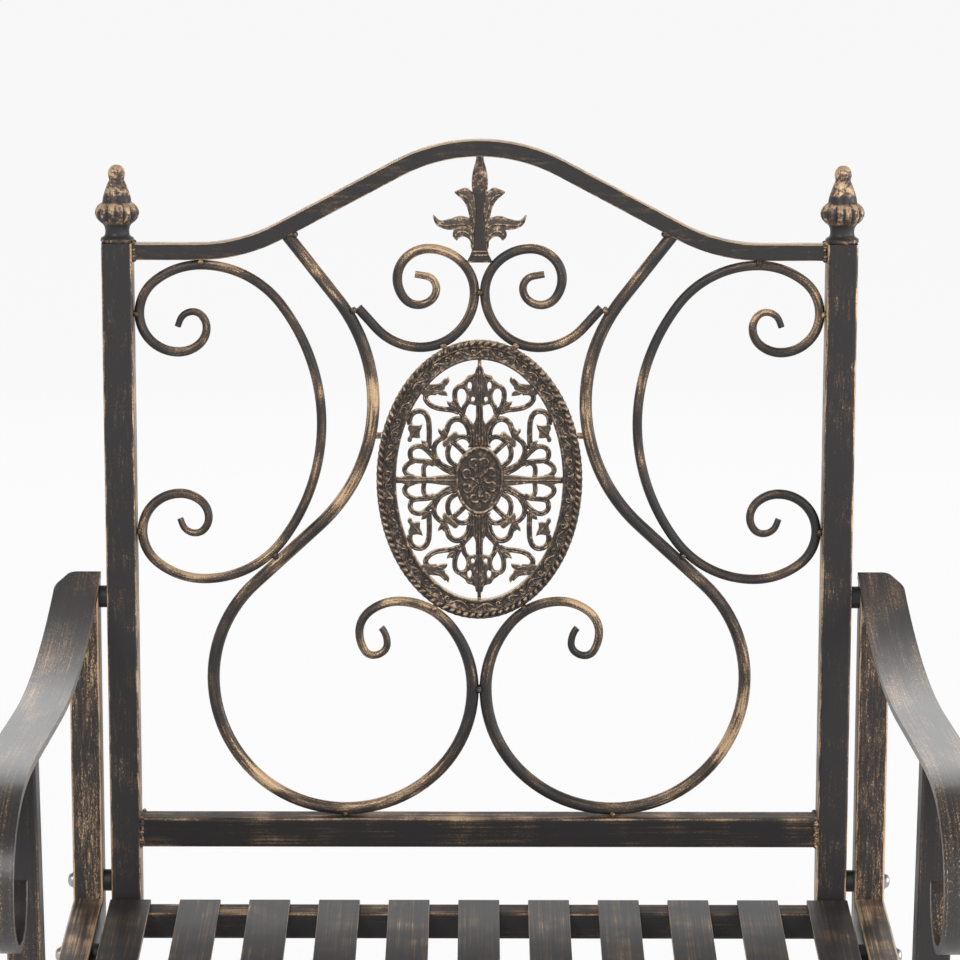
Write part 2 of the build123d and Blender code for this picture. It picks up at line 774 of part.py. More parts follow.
arm_back = (arm_rear + leg_size, arm_height)
arm_front = arm_route.trail[arm_route.marks[4]]
over_line = Polyline(
    (arm_front[0], arm_front[1]),
    (arm_front[0], arm_height + 4 * leg_size),
    (arm_back[0], arm_height + 4 * leg_size),
    arm_back,
    (arm_rear, arm_height),
)
over_arm = make_face(Curve() + arm_route.edges[:4] + over_line)
over_arm = side_plane * (Pos(0, 0, leg_inner - leg_size) * extrude(over_arm, 3 * leg_size))
floor_cut = layer(-4 * leg_size, plug_flange)
rear_leg = rear_solid - rear_bore - floor_cut - over_arm - arm_right
front_leg = front_solid - front_bore - floor_cut - over_arm - arm_right


def plug(solid, route):
    """Plastic plug: a flange under the leg and a spigot up inside it."""
    inside = side_plane * (Pos(0, 0, leg_middle) * tube_along(route, leg_bore - 2 * plug_play))
    return (solid & layer(0, plug_flange)) + (inside & layer(plug_flange, plug_flange + plug_depth))


rear_foot = plug(rear_solid, rear_route)
front_foot = plug(front_solid, front_route)

seat_under = seat_height - slat_thick
seat_rail_middle = seat_under - leg_size / 2
rear_at_seat = on_panel(0, -(medallion_height - seat_rail_middle) / math.cos(lean))
side_rail_front = front_y + leg_size / 2
side_rail_long = rear_at_seat.Y - side_rail_front
side_rail_tube = extrude(square_tube(leg_size, leg_wall, leg_corner), side_rail_long)
side_rail = Pos(leg_middle, side_rail_front, seat_rail_middle) * Rot(X=-90) * side_rail_tube
side_rail = side_rail - rear_solid

# Seat panel: tube frame, cross bar and slats that roll over in front of it
post_front = on_panel(0, -post_drop, post_size / 2)
seat_front = front_y - leg_size / 2
seat_rear = post_front.Y - seat_clear
seat_long = seat_rear - seat_front
seat_middle = seat_under - seat_tube / 2
seat_tube_section = square_tube(seat_tube, post_wall, post_corner)
seat_side_x = panel_half - seat_tube / 2
seat_cross = 2 * (panel_half - seat_tube)
seat_side = Pos(seat_side_x, seat_front, seat_middle) * Rot(X=-90) * extrude(seat_tube_section, seat_long)
cross_tube = Pos(-seat_cross / 2, 0, seat_middle) * Rot(Y=90) * extrude(seat_tube_section, seat_cross)
seat_front_rail = Pos(0, seat_front + seat_tube / 2, 0) * cross_tube
seat_rear_rail = Pos(0, seat_rear - seat_tube / 2, 0) * cross_tube
cross_bar = Pos(0, (seat_front + seat_rear) / 2, seat_under - cross_bar_tall / 2) * Box(
    seat_cross, cross_bar_thick, cross_bar_tall
)

slat_bend = slat_roll_radius + slat_thick / 2
slat_route = Route(seat_rear, seat_under + slat_thick / 2, 180)
slat_route.run(seat_long).arc(slat_bend, 90).run(slat_drop)
slat_blank = side_plane * slab(slat_route.strip(slat_thick), slat_width)
slat_pitch = (2 * panel_half - slat_width) / (slat_count - 1)
slats = [Pos((step - (slat_count - 1) / 2) * slat_pitch) * slat_blank for step in range(slat_count)]

# Bolts: head and washer outside the side frame, spacer between the panels, nut welded inside
arm_clear = (arm_thick / 2 + washer_size / 2 + washer_clear) / math.cos(math.radians(arm_dip))
back_bolt_high = (arm_line(arm_axis.Y) - arm_clear - medallion_height) / math.cos(lean)
bolt_places = {
    "back": [on_panel(0, back_bolt_high), on_panel(0, back_bolt_above_end - post_drop)],
    "seat": [
        Vector(0, side_rail_front + seat_bolt_front, seat_middle),
        Vector(0, rear_at_seat.Y - seat_bolt_rear, seat_middle),
    ],
}
bolt_seat = leg_outer + washer_thick
bolt_end = panel_half - post_wall - nut_thick - bolt_tail
hole_size = bolt_size + bolt_play


def across(diameter, start, end):
    """A round bar along X from one place to another."""
    return Pos((start + end) / 2) * Rot(Y=90) * Cylinder(diameter / 2, end - start)


bolt_top = bolt_seat + bolt_head_thick
bolt_blank = across(bolt_size, bolt_end, bolt_seat) + across(bolt_head, bolt_seat, bolt_top)
bolt_hole = across(hole_size, panel_half - overshoot, bolt_seat + overshoot)
washer_blank = across(washer_size, leg_outer, bolt_seat) - bolt_hole
spacer_blank = across(spacer_size, panel_half, leg_inner) - bolt_hole
nut_end = panel_half - post_wall
nut_start = nut_end - nut_thick
nut_flat = RegularPolygon(nut_across / 2, 6, major_radius=False)
nut_hex = Pos(nut_start) * Rot(Y=90) * extrude(nut_flat, nut_thick)
nut_blank = nut_hex - across(bolt_size + thread_play, nut_start - overshoot, nut_end + overshoot)
hole_blank = across(hole_size, panel_half - 2 * post_wall, leg_outer + overshoot)


def at_bolts(blank, group):
    """Copies of a fastener at the bolt places of a group, on the right side."""
    return [Pos(place.X, place.Y, place.Z) * blank for place in bolt_places[group]]


post_right = back_plane * post_right
for hole in at_bolts(hole_blank, "back"):
    post_right = post_right - hole
    rear_leg = rear_leg - hole
for hole in at_bolts(hole_blank, "seat"):
    seat_side = seat_side - hole
    side_rail = side_rail - hole

post_bore = post_size - 2 * post_wall - 2 * plug_play
bore_corner = max(post_corner - post_wall, least_corner)
plug_spigot = extrude(RectangleRounded(post_bore, post_bore, bore_corner), post_plug_depth)
plug_cap = Pos(0, 0, -plug_flange) * extrude(RectangleRounded(post_size, post_size, post_corner), plug_flange)
post_plug = back_plane * (Pos(post_middle, -post_drop) * Rot(X=-90) * (plug_cap + plug_spigot))


# Everything by name, left and right
def pair(name, piece):
    return {name + "_left": mirrored(piece), name + "_right": piece}


def both_sides(pieces):
    return pieces + [mirrored(piece) for piece in pieces]


nodes = {}
nodes.update(pair("back_post", post_right))
nodes.update(pair("finial", back_plane * finial_right))
nodes["top_rail"] = back_plane * top_rail
nodes["bottom_rail"] = back_plane * bottom_rail
nodes.update(pair("outer_scroll", back_plane * outer_right))
nodes.update(pair("lyre_rod", back_plane * lyre_right))
nodes.update(pair("inner_scroll", back_plane * inner_right))
nodes["fleur_de_lis"] = back_plane * fleur
nodes["medallion"] = back_plane * medallion
nodes["medallion_pins"] = both_sides([back_plane * pin_right])
nodes["weld_tacks"] = [back_plane * tack for tack in tacks]
nodes.update(pair("rear_leg", rear_leg))
nodes.update(pair("front_leg", front_leg))
nodes.update(pair("arm", arm_right))
nodes.update(pair("side_rail", side_rail))
nodes.update(pair("rear_foot_plug", rear_foot))
nodes.update(pair("front_foot_plug", front_foot))
nodes.update(pair("post_plug", post_plug))
nodes.update(pair("seat_side_rail", seat_side))
nodes["seat_front_rail"] = seat_front_rail
nodes["seat_rear_rail"] = seat_rear_rail
nodes["seat_cross_bar"] = cross_bar
for number, slat in enumerate(slats, 1):
    nodes["seat_slat_" + str(number)] = slat
for group in bolt_places:
    nodes[group + "_bolts"] = both_sides(at_bolts(bolt_blank, group))
    nodes[group + "_washers"] = both_sides(at_bolts(washer_blank, group))
    nodes[group + "_spacers"] = both_sides(at_bolts(spacer_blank, group))
    nodes[group + "_nuts"] = both_sides(at_bolts(nut_blank, group))


def solids_of(piece):
    if isinstance(piece, list):
        return [solid for each in piece for solid in each.solids()]
    return list(piece.solids())


# The middle of the chair's box goes over the origin
boxes = [solid.bounding_box() for piece in nodes.values() for solid in solids_of(piece)]
shift = -(min(box.min.Y for box in boxes) + max(box.max.Y for box in boxes)) / 2
for name, piece in nodes.items():
    moved = [Pos(0, shift, 0) * solid for solid in solids_of(piece)]
    export_step(Compound(children=moved) if len(moved) > 1 else moved[0], "parts/" + name + ".step")
    print(name, len(moved), round(sum(solid.volume for solid in moved) / 1000, 2), "cm3")
print("waist", round(waist_place, 2), "hump", round(hump_place, 2), "lobe", round(lobe_place, 2))
print("outer foot", round(foot_place, 2), "shift", round(shift, 2))
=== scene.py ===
import math
import random

import bmesh
import bpy
from mathutils import Matrix, Vector, noise


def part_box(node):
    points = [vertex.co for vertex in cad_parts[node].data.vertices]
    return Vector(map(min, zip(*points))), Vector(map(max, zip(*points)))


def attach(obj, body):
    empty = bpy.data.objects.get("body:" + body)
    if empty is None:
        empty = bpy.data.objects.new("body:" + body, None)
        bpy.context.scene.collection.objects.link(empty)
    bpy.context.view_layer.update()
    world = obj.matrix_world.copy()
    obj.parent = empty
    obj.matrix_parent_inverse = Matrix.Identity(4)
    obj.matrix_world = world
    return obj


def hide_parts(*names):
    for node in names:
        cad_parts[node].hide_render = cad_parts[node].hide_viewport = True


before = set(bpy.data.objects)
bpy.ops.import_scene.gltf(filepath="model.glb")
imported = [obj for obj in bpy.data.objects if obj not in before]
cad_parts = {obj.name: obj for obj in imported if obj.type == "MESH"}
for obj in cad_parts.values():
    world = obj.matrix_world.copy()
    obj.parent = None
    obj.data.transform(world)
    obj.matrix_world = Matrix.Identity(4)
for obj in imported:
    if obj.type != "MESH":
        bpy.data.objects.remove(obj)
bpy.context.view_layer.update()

# Back posts and bottom rail: square steel tube, welded into one panel that leans back.
# The steel is sprayed near-black, then bronze is dry-brushed over it. The brush catches on the
# corners and leaves thin streaks along each bar. The side faces of the posts take more bronze as a
# painted highlight, and the upper faces take more partly from the brush and partly as a painted highlight.
NEAR_BLACK = (0.026, 0.024, 0.024, 1)
BROWN = (0.115, 0.076, 0.050, 1)
BRONZE = (0.58, 0.40, 0.245, 1)
MILLIMETRE = 0.001
ROD_STREAK = Vector((46, 46, 46))
ROD_WRAP = Vector((2.6, 2.6, 2.6))
GRAIN_FINE = 1300
CREASE_REACH = 4 * MILLIMETRE
CREASE_EVEN = 0.75
BRONZE_METAL = 0.35
BUMP_STRENGTH = 0.14
BUMP_DEEP = 0.3 * MILLIMETRE
SIDEWAYS = Vector((1, 0, 0))
UPWARDS = Vector((0, 0, 1))
PANEL_LEAN = math.radians(6)
PANEL_UP = Vector((0, math.sin(PANEL_LEAN), math.cos(PANEL_LEAN)))
PANEL_FRONT = Vector((0, -math.cos(PANEL_LEAN), math.sin(PANEL_LEAN)))
panel_middle = sum(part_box("medallion"), Vector()) / 2
panel_turn = Matrix((SIDEWAYS, PANEL_UP, PANEL_FRONT)).transposed().to_4x4()
panel_place = Matrix.Translation(panel_middle) @ panel_turn @ Matrix.Scale(MILLIMETRE, 4)
panel_back = panel_place.inverted()


def bronzed_paint(name, streaks, bare, edge_axis=None, edge=0.0, upper_brush_and_highlight=0.25, front=0.0, side=0.0,
                  hollow=0.0, rim=0.0, gloss=0.3, dull=0.3, mottle=(34, 34, 34), uneven=0.9,
                  flecks=None, flecked=0.0, bands=(), black=NEAR_BLACK, bronze=BRONZE):
    """Near-black paint under brushed bronze.

    streaks: how finely the streaks follow each other along x, y and z, or None on a bent rod, where
    they run round with the surface. bare: how much of the black stays bare. edge_axis: the direction
    that separates the faces of a square bar, so that its corners can take more bronze.
    upper_brush_and_highlight and front: how much more bronze the faces that look up, and those that
    look to the front or back, take; this is partly the brush and partly a painted highlight. side: how
    much more bronze the side faces take, as a painted highlight. hollow: how much more the raised places
    take than the hollows. rim: how much more the rounded edges of a leaf take than its front. mottle and
    uneven: how finely the patches follow each other, and how strong they are.
    flecks and flecked: the same for small flecks of bronze. bands: stretches up the panel, from and
    to in millimetres, that take so much more or less. gloss and dull: how much and how softly the
    paint shines.
    """
    paint = bpy.data.materials.new(name)
    paint.use_nodes = True
    tree = paint.node_tree
    shader = tree.nodes["Principled BSDF"]

    def make(kind, **settings):
        made = tree.nodes.new("ShaderNode" + kind)
        for key, value in settings.items():
            setattr(made, key, value)
        return made

    def feed(socket, value):
        if isinstance(value, bpy.types.NodeSocket):
            tree.links.new(value, socket)
        else:
            socket.default_value = value

    def worked(operation, *values):
        made = make("Math", operation=operation)
        for socket, value in zip(made.inputs, values):
            feed(socket, value)
        return made.outputs[0]

    def vector(operation, *values):
        made = make("VectorMath", operation=operation)
        for socket, value in zip(made.inputs, values):
            feed(socket, value)
        return made.outputs["Value"] if operation == "DOT_PRODUCT" else made.outputs[0]

    def clouds(place, scale, detail):
        made = make("TexNoise")
        feed(made.inputs["Vector"], place)
        feed(made.inputs["Scale"], scale)
        feed(made.inputs["Detail"], detail)
        return made.outputs[0]

    def ramp(value, low, high, top=1.0):
        made = make("MapRange", interpolation_type="SMOOTHSTEP")
        feed(made.inputs["Value"], value)
        feed(made.inputs["From Min"], low)
        feed(made.inputs["From Max"], high)
        feed(made.inputs["To Max"], top)
        return made.outputs[0]

    def blend(share, first, second):
        made = make("Mix", data_type="RGBA")
        feed(made.inputs[0], share)
        feed(made.inputs[6], first)
        feed(made.inputs[7], second)
        return made.outputs[2]

    place = make("TexCoord").outputs["Object"]
    normal = make("NewGeometry").outputs["Normal"]
    if streaks is None:
        along = vector("MULTIPLY", place, ROD_STREAK)
        strokes = clouds(vector("MULTIPLY_ADD", normal, ROD_WRAP, along), 1, 4)
    else:
        strokes = clouds(vector("MULTIPLY", place, streaks), 1, 4)
    patches = clouds(vector("MULTIPLY", place, mottle), 1, 3)
    grains = clouds(place, GRAIN_FINE, 2)
    total = worked("MULTIPLY_ADD", strokes, 1.0, worked("MULTIPLY", patches, uneven))
    total = worked("MULTIPLY_ADD", grains, 0.7, total)
    # Faces that look up take more bronze, partly from the brush and partly as a painted highlight where the
    # light from above falls.
    height = worked("MAXIMUM", vector("DOT_PRODUCT", normal, UPWARDS), 0.0)
    total = worked("MULTIPLY_ADD", height, upper_brush_and_highlight, total)
    facing = worked("ABSOLUTE", vector("DOT_PRODUCT", normal, PANEL_FRONT))
    # Faces that look to the front or back take more bronze, partly from the brush and partly as a painted
    # highlight.
    if front:
        total = worked("MULTIPLY_ADD", worked("POWER", facing, 3.0), front, total)
    if rim:
        total = worked("MULTIPLY_ADD", worked("SUBTRACT", 1.0, facing), rim, total)
    # Faces that look to the sides take more bronze as a painted highlight where the side lights fall.
    if side:
        turned = worked("ABSOLUTE", vector("DOT_PRODUCT", normal, SIDEWAYS))
        total = worked("MULTIPLY_ADD", worked("POWER", turned, 3.0), side, total)
    if flecks:
        dots = ramp(clouds(vector("MULTIPLY", place, flecks), 1, 1), 0.52, 0.72)
        total = worked("MULTIPLY_ADD", worked("MULTIPLY", dots, patches), flecked, total)
    if bands:
        rise = vector("DOT_PRODUCT", vector("SUBTRACT", place, panel_middle), PANEL_UP)
        rise = worked("DIVIDE", rise, MILLIMETRE)
    for low, high, share in bands:
        inside = worked("MULTIPLY", ramp(rise, low - 1, low + 1), ramp(rise, high + 1, high - 1))
        total = worked("MULTIPLY_ADD", inside, share, total)
    if hollow:
        crease = make("AmbientOcclusion", samples=6, only_local=True)
        feed(crease.inputs["Distance"], CREASE_REACH)
        open_share = worked("SUBTRACT", crease.outputs["AO"], CREASE_EVEN)
        total = worked("MULTIPLY_ADD", open_share, hollow, total)
    if edge_axis:
        across = vector("DOT_PRODUCT", normal, edge_axis)
        split = worked("MULTIPLY_ADD", worked("MULTIPLY", across, across), 2.0, -1.0)
        corner = worked("SUBTRACT", 1.0, worked("ABSOLUTE", split))
        total = worked("MULTIPLY_ADD", ramp(corner, 0.05, 0.7), edge, total)
    thin = ramp(total, bare - 0.22, bare + 0.2)
    thick = ramp(total, bare + 0.06, bare + 0.34)
    feed(shader.inputs["Base Color"], blend(thick, blend(thin, black, BROWN), bronze))
    feed(shader.inputs["Metallic"], ramp(total, bare + 0.06, bare + 0.34, BRONZE_METAL))
    feed(shader.inputs["Roughness"], worked("MULTIPLY_ADD", grains, 0.25, dull))
    feed(shader.inputs["Specular IOR Level"], gloss)
    bump = make("Bump")
    feed(bump.inputs["Strength"], BUMP_STRENGTH)
    feed(bump.inputs["Distance"], BUMP_DEEP)
    feed(bump.inputs["Height"], worked("MULTIPLY_ADD", total, 0.5, grains))
    feed(shader.inputs["Normal"], bump.outputs[0])
    return paint


def painted(node, paint):
    """Gives a solid of the frame its finish."""
    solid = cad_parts[node]
    solid.data.materials.clear()
    solid.data.materials.append(paint)


post_paint = bronzed_paint("bronzed_post", (620, 620, 11), 1.64, SIDEWAYS, 0.3, side=0.42,
                           flecks=(1500, 1500, 420), flecked=0.3)
cross_paint = bronzed_paint("bronzed_cross", (14, 620, 620), 1.60, PANEL_FRONT, 0.2, upper_brush_and_highlight=0.3,
                            gloss=0.12, dull=0.45)
for post in ("back_post_left", "back_post_right"):
    painted(post, post_paint)
painted("bottom_rail", cross_paint)

# Arched top rail: square steel bar bent in two easy curves and welded between the posts. Its edges
# are rubbed round, so they carry a line of bronze above and below.
ARCH_ROUND = 1.3 * MILLIMETRE
CORNER_TALL = 8 * MILLIMETRE
BLUNT_LEAST = math.radians(20)
BLUNT_MOST = math.radians(70)
# The top face of the arch takes more bronze, partly from the brush and partly as a painted highlight from the
# light above.
arch_paint = bronzed_paint("bronzed_arch", (60, 620, 420), 1.62, PANEL_FRONT, 0.5, upper_brush_and_highlight=0.55)


def add_piece(name, mesh, material, slot, *nodes):
    """A finished piece of the chair, standing for the named solids."""
    mesh.materials.clear()
    mesh.materials.append(material)
    piece = bpy.data.objects.new(name, mesh)
    bpy.context.scene.collection.objects.link(piece)
    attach(piece, "root")
    if nodes:
        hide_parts(*nodes)
    return piece


def mesh_of(shape, name, smooth=True):
    """Makes a mesh of a bmesh and frees it."""
    for face in shape.faces:
        face.smooth = smooth
    mesh = bpy.data.meshes.new(name)
    shape.to_mesh(mesh)
    shape.free()
    return mesh


def eased_copy(node, name, width, paint, corner=0.0):
    """A copy of a solid with its sharp edges rounded, and its cut-off corners too where corner says."""
    shape = bmesh.new()
    shape.from_mesh(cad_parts[node].data)
    bmesh.ops.remove_doubles(shape, verts=shape.verts, dist=1e-6)
    bmesh.ops.dissolve_limit(shape, angle_limit=math.radians(0.5), verts=shape.verts, edges=shape.edges)
    if corner:
        blunt = [edge for edge in shape.edges if BLUNT_LEAST < edge.calc_face_angle() < BLUNT_MOST]
        upright = [edge for edge in blunt if edge.calc_length() < CORNER_TALL]
        bmesh.ops.bevel(shape, geom=upright, offset=corner, offset_type="OFFSET", segments=5, profile=0.5,
                        affect="EDGES", material=-1)
    piece = add_piece(name, mesh_of(shape, name), paint, "bronzed_steel", node)
    ease = piece.modifiers.new("eased", "BEVEL")
    ease.width = width
    ease.segments = 3
    ease.limit_method = "ANGLE"
    ease.angle_limit = math.radians(40)
    piece.modifiers.new("flat", "WEIGHTED_NORMAL")


eased_copy("top_rail", "arch_bar", ARCH_ROUND, arch_paint)

# Finials: turned castings driven into the tops of the posts, with a collar, a plain neck, a gadrooned
# bulb, a bell and a ball. The brush leaves bronze on every round and black in the hollows.
FINIAL_X = 259.0
FINIAL_FOOT = 172.5
FINIAL_COLLAR = [(0, 0), (11.2, 0), (12.0, 0.9), (12.1, 2.1), (11.6, 3.4), (10.2, 4.2)]
FINIAL_NECK = [(9.0, 5.2), (8.6, 7.0), (8.6, 9.0), (9.0, 11.0), (9.8, 12.6)]
FINIAL_BULB = [(10.8, 13.6), (12.7, 15.0), (14.6, 17.2), (15.6, 19.6), (15.8, 21.6), (15.4, 23.8),
               (14.2, 26.0), (12.2, 27.8), (10.8, 28.6)]
FINIAL_BELL = [(10.3, 29.2), (10.2, 30.4), (9.9, 32.2), (9.2, 34.8), (8.2, 37.8), (7.1, 40.8), (6.2, 43.0),
               (5.5, 44.4), (5.3, 45.0)]
FINIAL_BALL = [(5.6, 46.0), (6.1, 48.2), (6.1, 50.0), (5.4, 52.4), (3.9, 54.4), (2.0, 55.4), (0, 55.6)]
FINIAL_LINE = FINIAL_COLLAR + FINIAL_NECK + FINIAL_BULB + FINIAL_BELL + FINIAL_BALL
FINIAL_RIBS = 14
FINIAL_STEPS = FINIAL_RIBS * 8
RIB_LOW = 13.4
RIB_HIGH = 28.6
RIB_DEEP = 0.16
# FINIAL_BANDS: the neck and the foot of the bell take less bronze, as painted shade, and the ball takes more,
# as a painted highlight; the bulb is left almost as it is.
FINIAL_BANDS = ((FINIAL_FOOT + 2.6, FINIAL_FOOT + 13, -0.5), (FINIAL_FOOT + 14, FINIAL_FOOT + 28, 0.02),
                (FINIAL_FOOT + 28.5, FINIAL_FOOT + 34, -0.3), (FINIAL_FOOT + 45.5, FINIAL_FOOT + 60, 0.12))
finial_paint = bronzed_paint("bronzed_turning", (420, 420, 420), 1.70, upper_brush_and_highlight=0.35, hollow=1.6,
                             mottle=(130, 130, 130), bands=FINIAL_BANDS)
for name, x_side in (("left", -1), ("right", 1)):
    finial = bmesh.new()
    line = [finial.verts.new((radius, 0, height)) for radius, height in FINIAL_LINE]
    edges = [finial.edges.new(ends) for ends in zip(line, line[1:])]
    bmesh.ops.spin(finial, geom=line + edges, cent=(0, 0, 0), axis=(0, 0, 1), angle=math.tau,
                   steps=FINIAL_STEPS, use_merge=True)
    bmesh.ops.remove_doubles(finial, verts=finial.verts, dist=1e-4)
    for vert in finial.verts:
        if RIB_LOW < vert.co.z < RIB_HIGH:
            swell = math.sin(math.pi * (vert.co.z - RIB_LOW) / (RIB_HIGH - RIB_LOW)) ** 0.6
            rib = abs(math.cos(FINIAL_RIBS / 2 * math.atan2(vert.co.y, vert.co.x))) ** 0.6
            inwards = 1 - RIB_DEEP * swell * (1 - rib)
            vert.co.x *= inwards
            vert.co.y *= inwards
    bmesh.ops.recalc_face_normals(finial, faces=finial.faces)
    standing = Matrix.Rotation(-math.pi / 2, 4, "X")
    finial.transform(panel_place @ Matrix.Translation((x_side * FINIAL_X, FINIAL_FOOT, 0)) @ standing)
    add_piece("finial_turning_" + name, mesh_of(finial, "finial_turning_" + name), finial_paint,
              "bronzed_casting", "finial_" + name)

# Scrolls: round steel rod, drawn down at the ends and bent cold, welded where the bends touch. The
# bronze lies on them in long uneven stretches. Two short pins of the same rod hold the medallion.
# Faces of the rods that look up, and to the front or back, take more bronze, partly from the brush and partly
# as a painted highlight.
rod_paint = bronzed_paint("bronzed_rod", None, 1.80, upper_brush_and_highlight=0.28, front=0.1, mottle=(18, 18, 18),
                          uneven=1.6)
for scroll in ("outer_scroll", "lyre_rod", "inner_scroll"):
    for side in ("left", "right"):
        painted(scroll + "_" + side, rod_paint)
painted("medallion_pins", rod_paint)

# Fleur-de-lis: a small iron casting of overlapping leaves on a collar, welded to the inner scrolls and
# the crown of the arch. The spear lies over the upper leaves, and those over the wings and hooks.
CAST_BLACK = (0.034, 0.029, 0.026, 1)
CAST_BRONZE = (0.54, 0.41, 0.29, 1)
LEAF_GREY = (0.065, 0.055, 0.047, 1)
VEIN_RADIUS = 0.7
RIM_RADIUS = 0.5
SPEAR_HALF = 3.2
COLLAR_HALF = 3.4
SHARP_TURN = math.radians(80)
# The cast paints give the faces of the relief that look up more bronze, partly from the brush and partly as a
# painted highlight on the tops of the relief.
leaf_paint = bronzed_paint("bronzed_leaf", (420, 420, 420), 1.72, upper_brush_and_highlight=0.4, hollow=1.2, rim=0.9,
                           mottle=(240, 240, 240), black=LEAF_GREY, bronze=CAST_BRONZE)
spear_paint = bronzed_paint("bronzed_spear", (420, 420, 420), 1.60, upper_brush_and_highlight=0.4, hollow=0.9, rim=0.6,
                            mottle=(240, 240, 240), bands=((160, 208, -0.4),), black=CAST_BLACK,
                            bronze=CAST_BRONZE)
casting_paint = bronzed_paint("bronzed_casting", (420, 420, 420), 1.70, upper_brush_and_highlight=0.3, hollow=1.1, rim=0.3,
                              mottle=(240, 240, 240), black=CAST_BLACK, bronze=CAST_BRONZE)
vein_paint = bronzed_paint("bronzed_vein", (420, 420, 420), 1.42, upper_brush_and_highlight=0.4, hollow=0.7,
                           mottle=(240, 240, 240), black=CAST_BLACK, bronze=CAST_BRONZE)
ridge_paint = bronzed_paint("bronzed_ridge", (420, 420, 420), 1.63, upper_brush_and_highlight=0.5, hollow=1.1,
                            mottle=(240, 240, 240), black=CAST_BLACK, bronze=CAST_BRONZE)
FLEUR_WING = [(3, 187.5), (8, 189.8), (14, 191), (22, 188.8), (28.5, 188), (33.2, 192), (30.8, 186),
              (26.5, 183.4), (20, 182.2), (12, 182.8), (6, 180.8), (3, 178)]
FLEUR_HOOK = [(2.5, 168), (5, 168), (6.6, 174.3), (10.8, 177.4), (14.2, 177), (16.5, 174.6), (18.8, 177.8),
              (17.6, 181.6), (13.5, 184), (8.5, 183.4), (4.5, 180), (2.5, 174)]
FLEUR_LEAF = [(2, 181.5), (5.2, 185.5), (7, 191.6), (8.8, 198.4), (11.4, 203), (14.6, 206), (17.6, 208.6),
              (13.4, 210.4), (9.8, 211.2), (6.8, 209.2), (4.4, 207), (2.5, 203), (2, 192)]
FLEUR_SPEAR = [(1.4, 235), (2.4, 231), (4.2, 224.5), (5.2, 218), (5.2, 213), (4.4, 206), (3.0, 192),
               (4.2, 182), (4.4, 176), (4.8, 170), (5, 166)]
FLEUR_COLLAR = [(5.8, 166.4), (6.6, 163.8), (9.2, 158.4)]
fleur_leaves = [(2.0, FLEUR_WING), (2.3, FLEUR_HOOK), (2.6, FLEUR_LEAF)]
fleur_veins = [
    (2.0, ((31.8, 189.6), (27.5, 185.4), (19, 185.2), (11, 185.6), (5, 183))),
    (2.3, ((17.4, 177.4), (15.6, 180), (12.2, 180.6), (8.4, 179), (5.6, 175), (4.4, 170))),
    (2.6, ((14.6, 207.4), (10, 205), (7, 199.5), (5, 192), (3.4, 184))),
]


def applied(holder):
    """The mesh of an object with its modifiers made part of it; the object goes."""
    bpy.context.scene.collection.objects.link(holder)
    bpy.context.view_layer.update()
    done = bpy.data.meshes.new_from_object(holder.evaluated_get(bpy.context.evaluated_depsgraph_get()))
    bpy.data.objects.remove(holder)
    return done


def corner_kind(places, index):
    """A point where an outline turns back sharply stays a corner; the others are drawn smooth."""
    before = Vector(places[index - 1])
    here = Vector(places[index])
    after = Vector(places[(index + 1) % len(places)])
    return "VECTOR" if (here - before).angle(after - here) > SHARP_TURN else "AUTO"


def plate(shape, outline, half, edge=0.9, holes=(), straight=False):
    """Adds a cast plate with rounded edges, half to each side of the panel's plane, to a shape."""
    drawing = bpy.data.curves.new("plate", "CURVE")
    drawing.dimensions = "2D"
    drawing.fill_mode = "BOTH"
    drawing.extrude = half - edge
    drawing.bevel_depth = edge
    drawing.bevel_resolution = 2
    drawing.offset = -edge
    drawing.resolution_u = 4
    for places in (outline, *holes):
        line = drawing.splines.new("BEZIER")
        line.bezier_points.add(len(places) - 1)
        for index, point in enumerate(line.bezier_points):
            point.co = (*places[index], 0)
            kind = "VECTOR" if straight else corner_kind(places, index)
            point.handle_left_type = kind
            point.handle_right_type = kind
        line.use_cyclic_u = True
    mesh = applied(bpy.data.objects.new("holder", drawing))
    shape.from_mesh(mesh)
    bpy.data.meshes.remove(mesh)


def both_halves(half):
    """A closed outline from its right half, listed from one end to the other."""
    return [*half, *[(-x, y) for x, y in reversed(half)]]


def add_plates(name, shape, paint, *nodes):
    """Closes the plates of a shape and makes them a piece on the panel."""
    bmesh.ops.remove_doubles(shape, verts=shape.verts, dist=1e-3)
    bmesh.ops.recalc_face_normals(shape, faces=shape.faces)
    shape.transform(panel_place)
    piece = add_piece(name, mesh_of(shape, name), paint, "bronzed_casting", *nodes)
    piece.modifiers.new("flat", "WEIGHTED_NORMAL")


def tendrils(name):
    """An empty drawing of round cast tendrils, in millimetres on the panel."""
    drawing = bpy.data.curves.new(name, "CURVE")
    drawing.dimensions = "3D"
    drawing.bevel_depth = 1
    drawing.bevel_resolution = 2
    drawing.use_fill_caps = True
    drawing.resolution_u = 6
    return drawing


def tendril(drawing, places, radii, height=0.0, closed=False):
    """A smooth tendril through the places, as thick as the radii say."""
    line = drawing.splines.new("BEZIER")
    line.bezier_points.add(len(places) - 1)
    for index, point in enumerate(line.bezier_points):
        point.co = (places[index][0], places[index][1], height)
        point.radius = radii[index]
        kind = corner_kind(places, index) if closed else "AUTO"
        point.handle_left_type = kind
        point.handle_right_type = kind
    line.use_cyclic_u = closed


def cast_mesh(drawing, deep=1.0):
    """The drawing as a mesh on the panel; deep stretches it across the panel."""
    mesh = applied(bpy.data.objects.new("holder", drawing))
    shape = bmesh.new()
    shape.from_mesh(mesh)
    bpy.data.meshes.remove(mesh)
    bmesh.ops.remove_doubles(shape, verts=shape.verts, dist=1e-3)
    bmesh.ops.recalc_face_normals(shape, faces=shape.faces)
    shape.transform(panel_place @ Matrix.Diagonal((1, 1, deep, 1)))
    return mesh_of(shape, drawing.name)


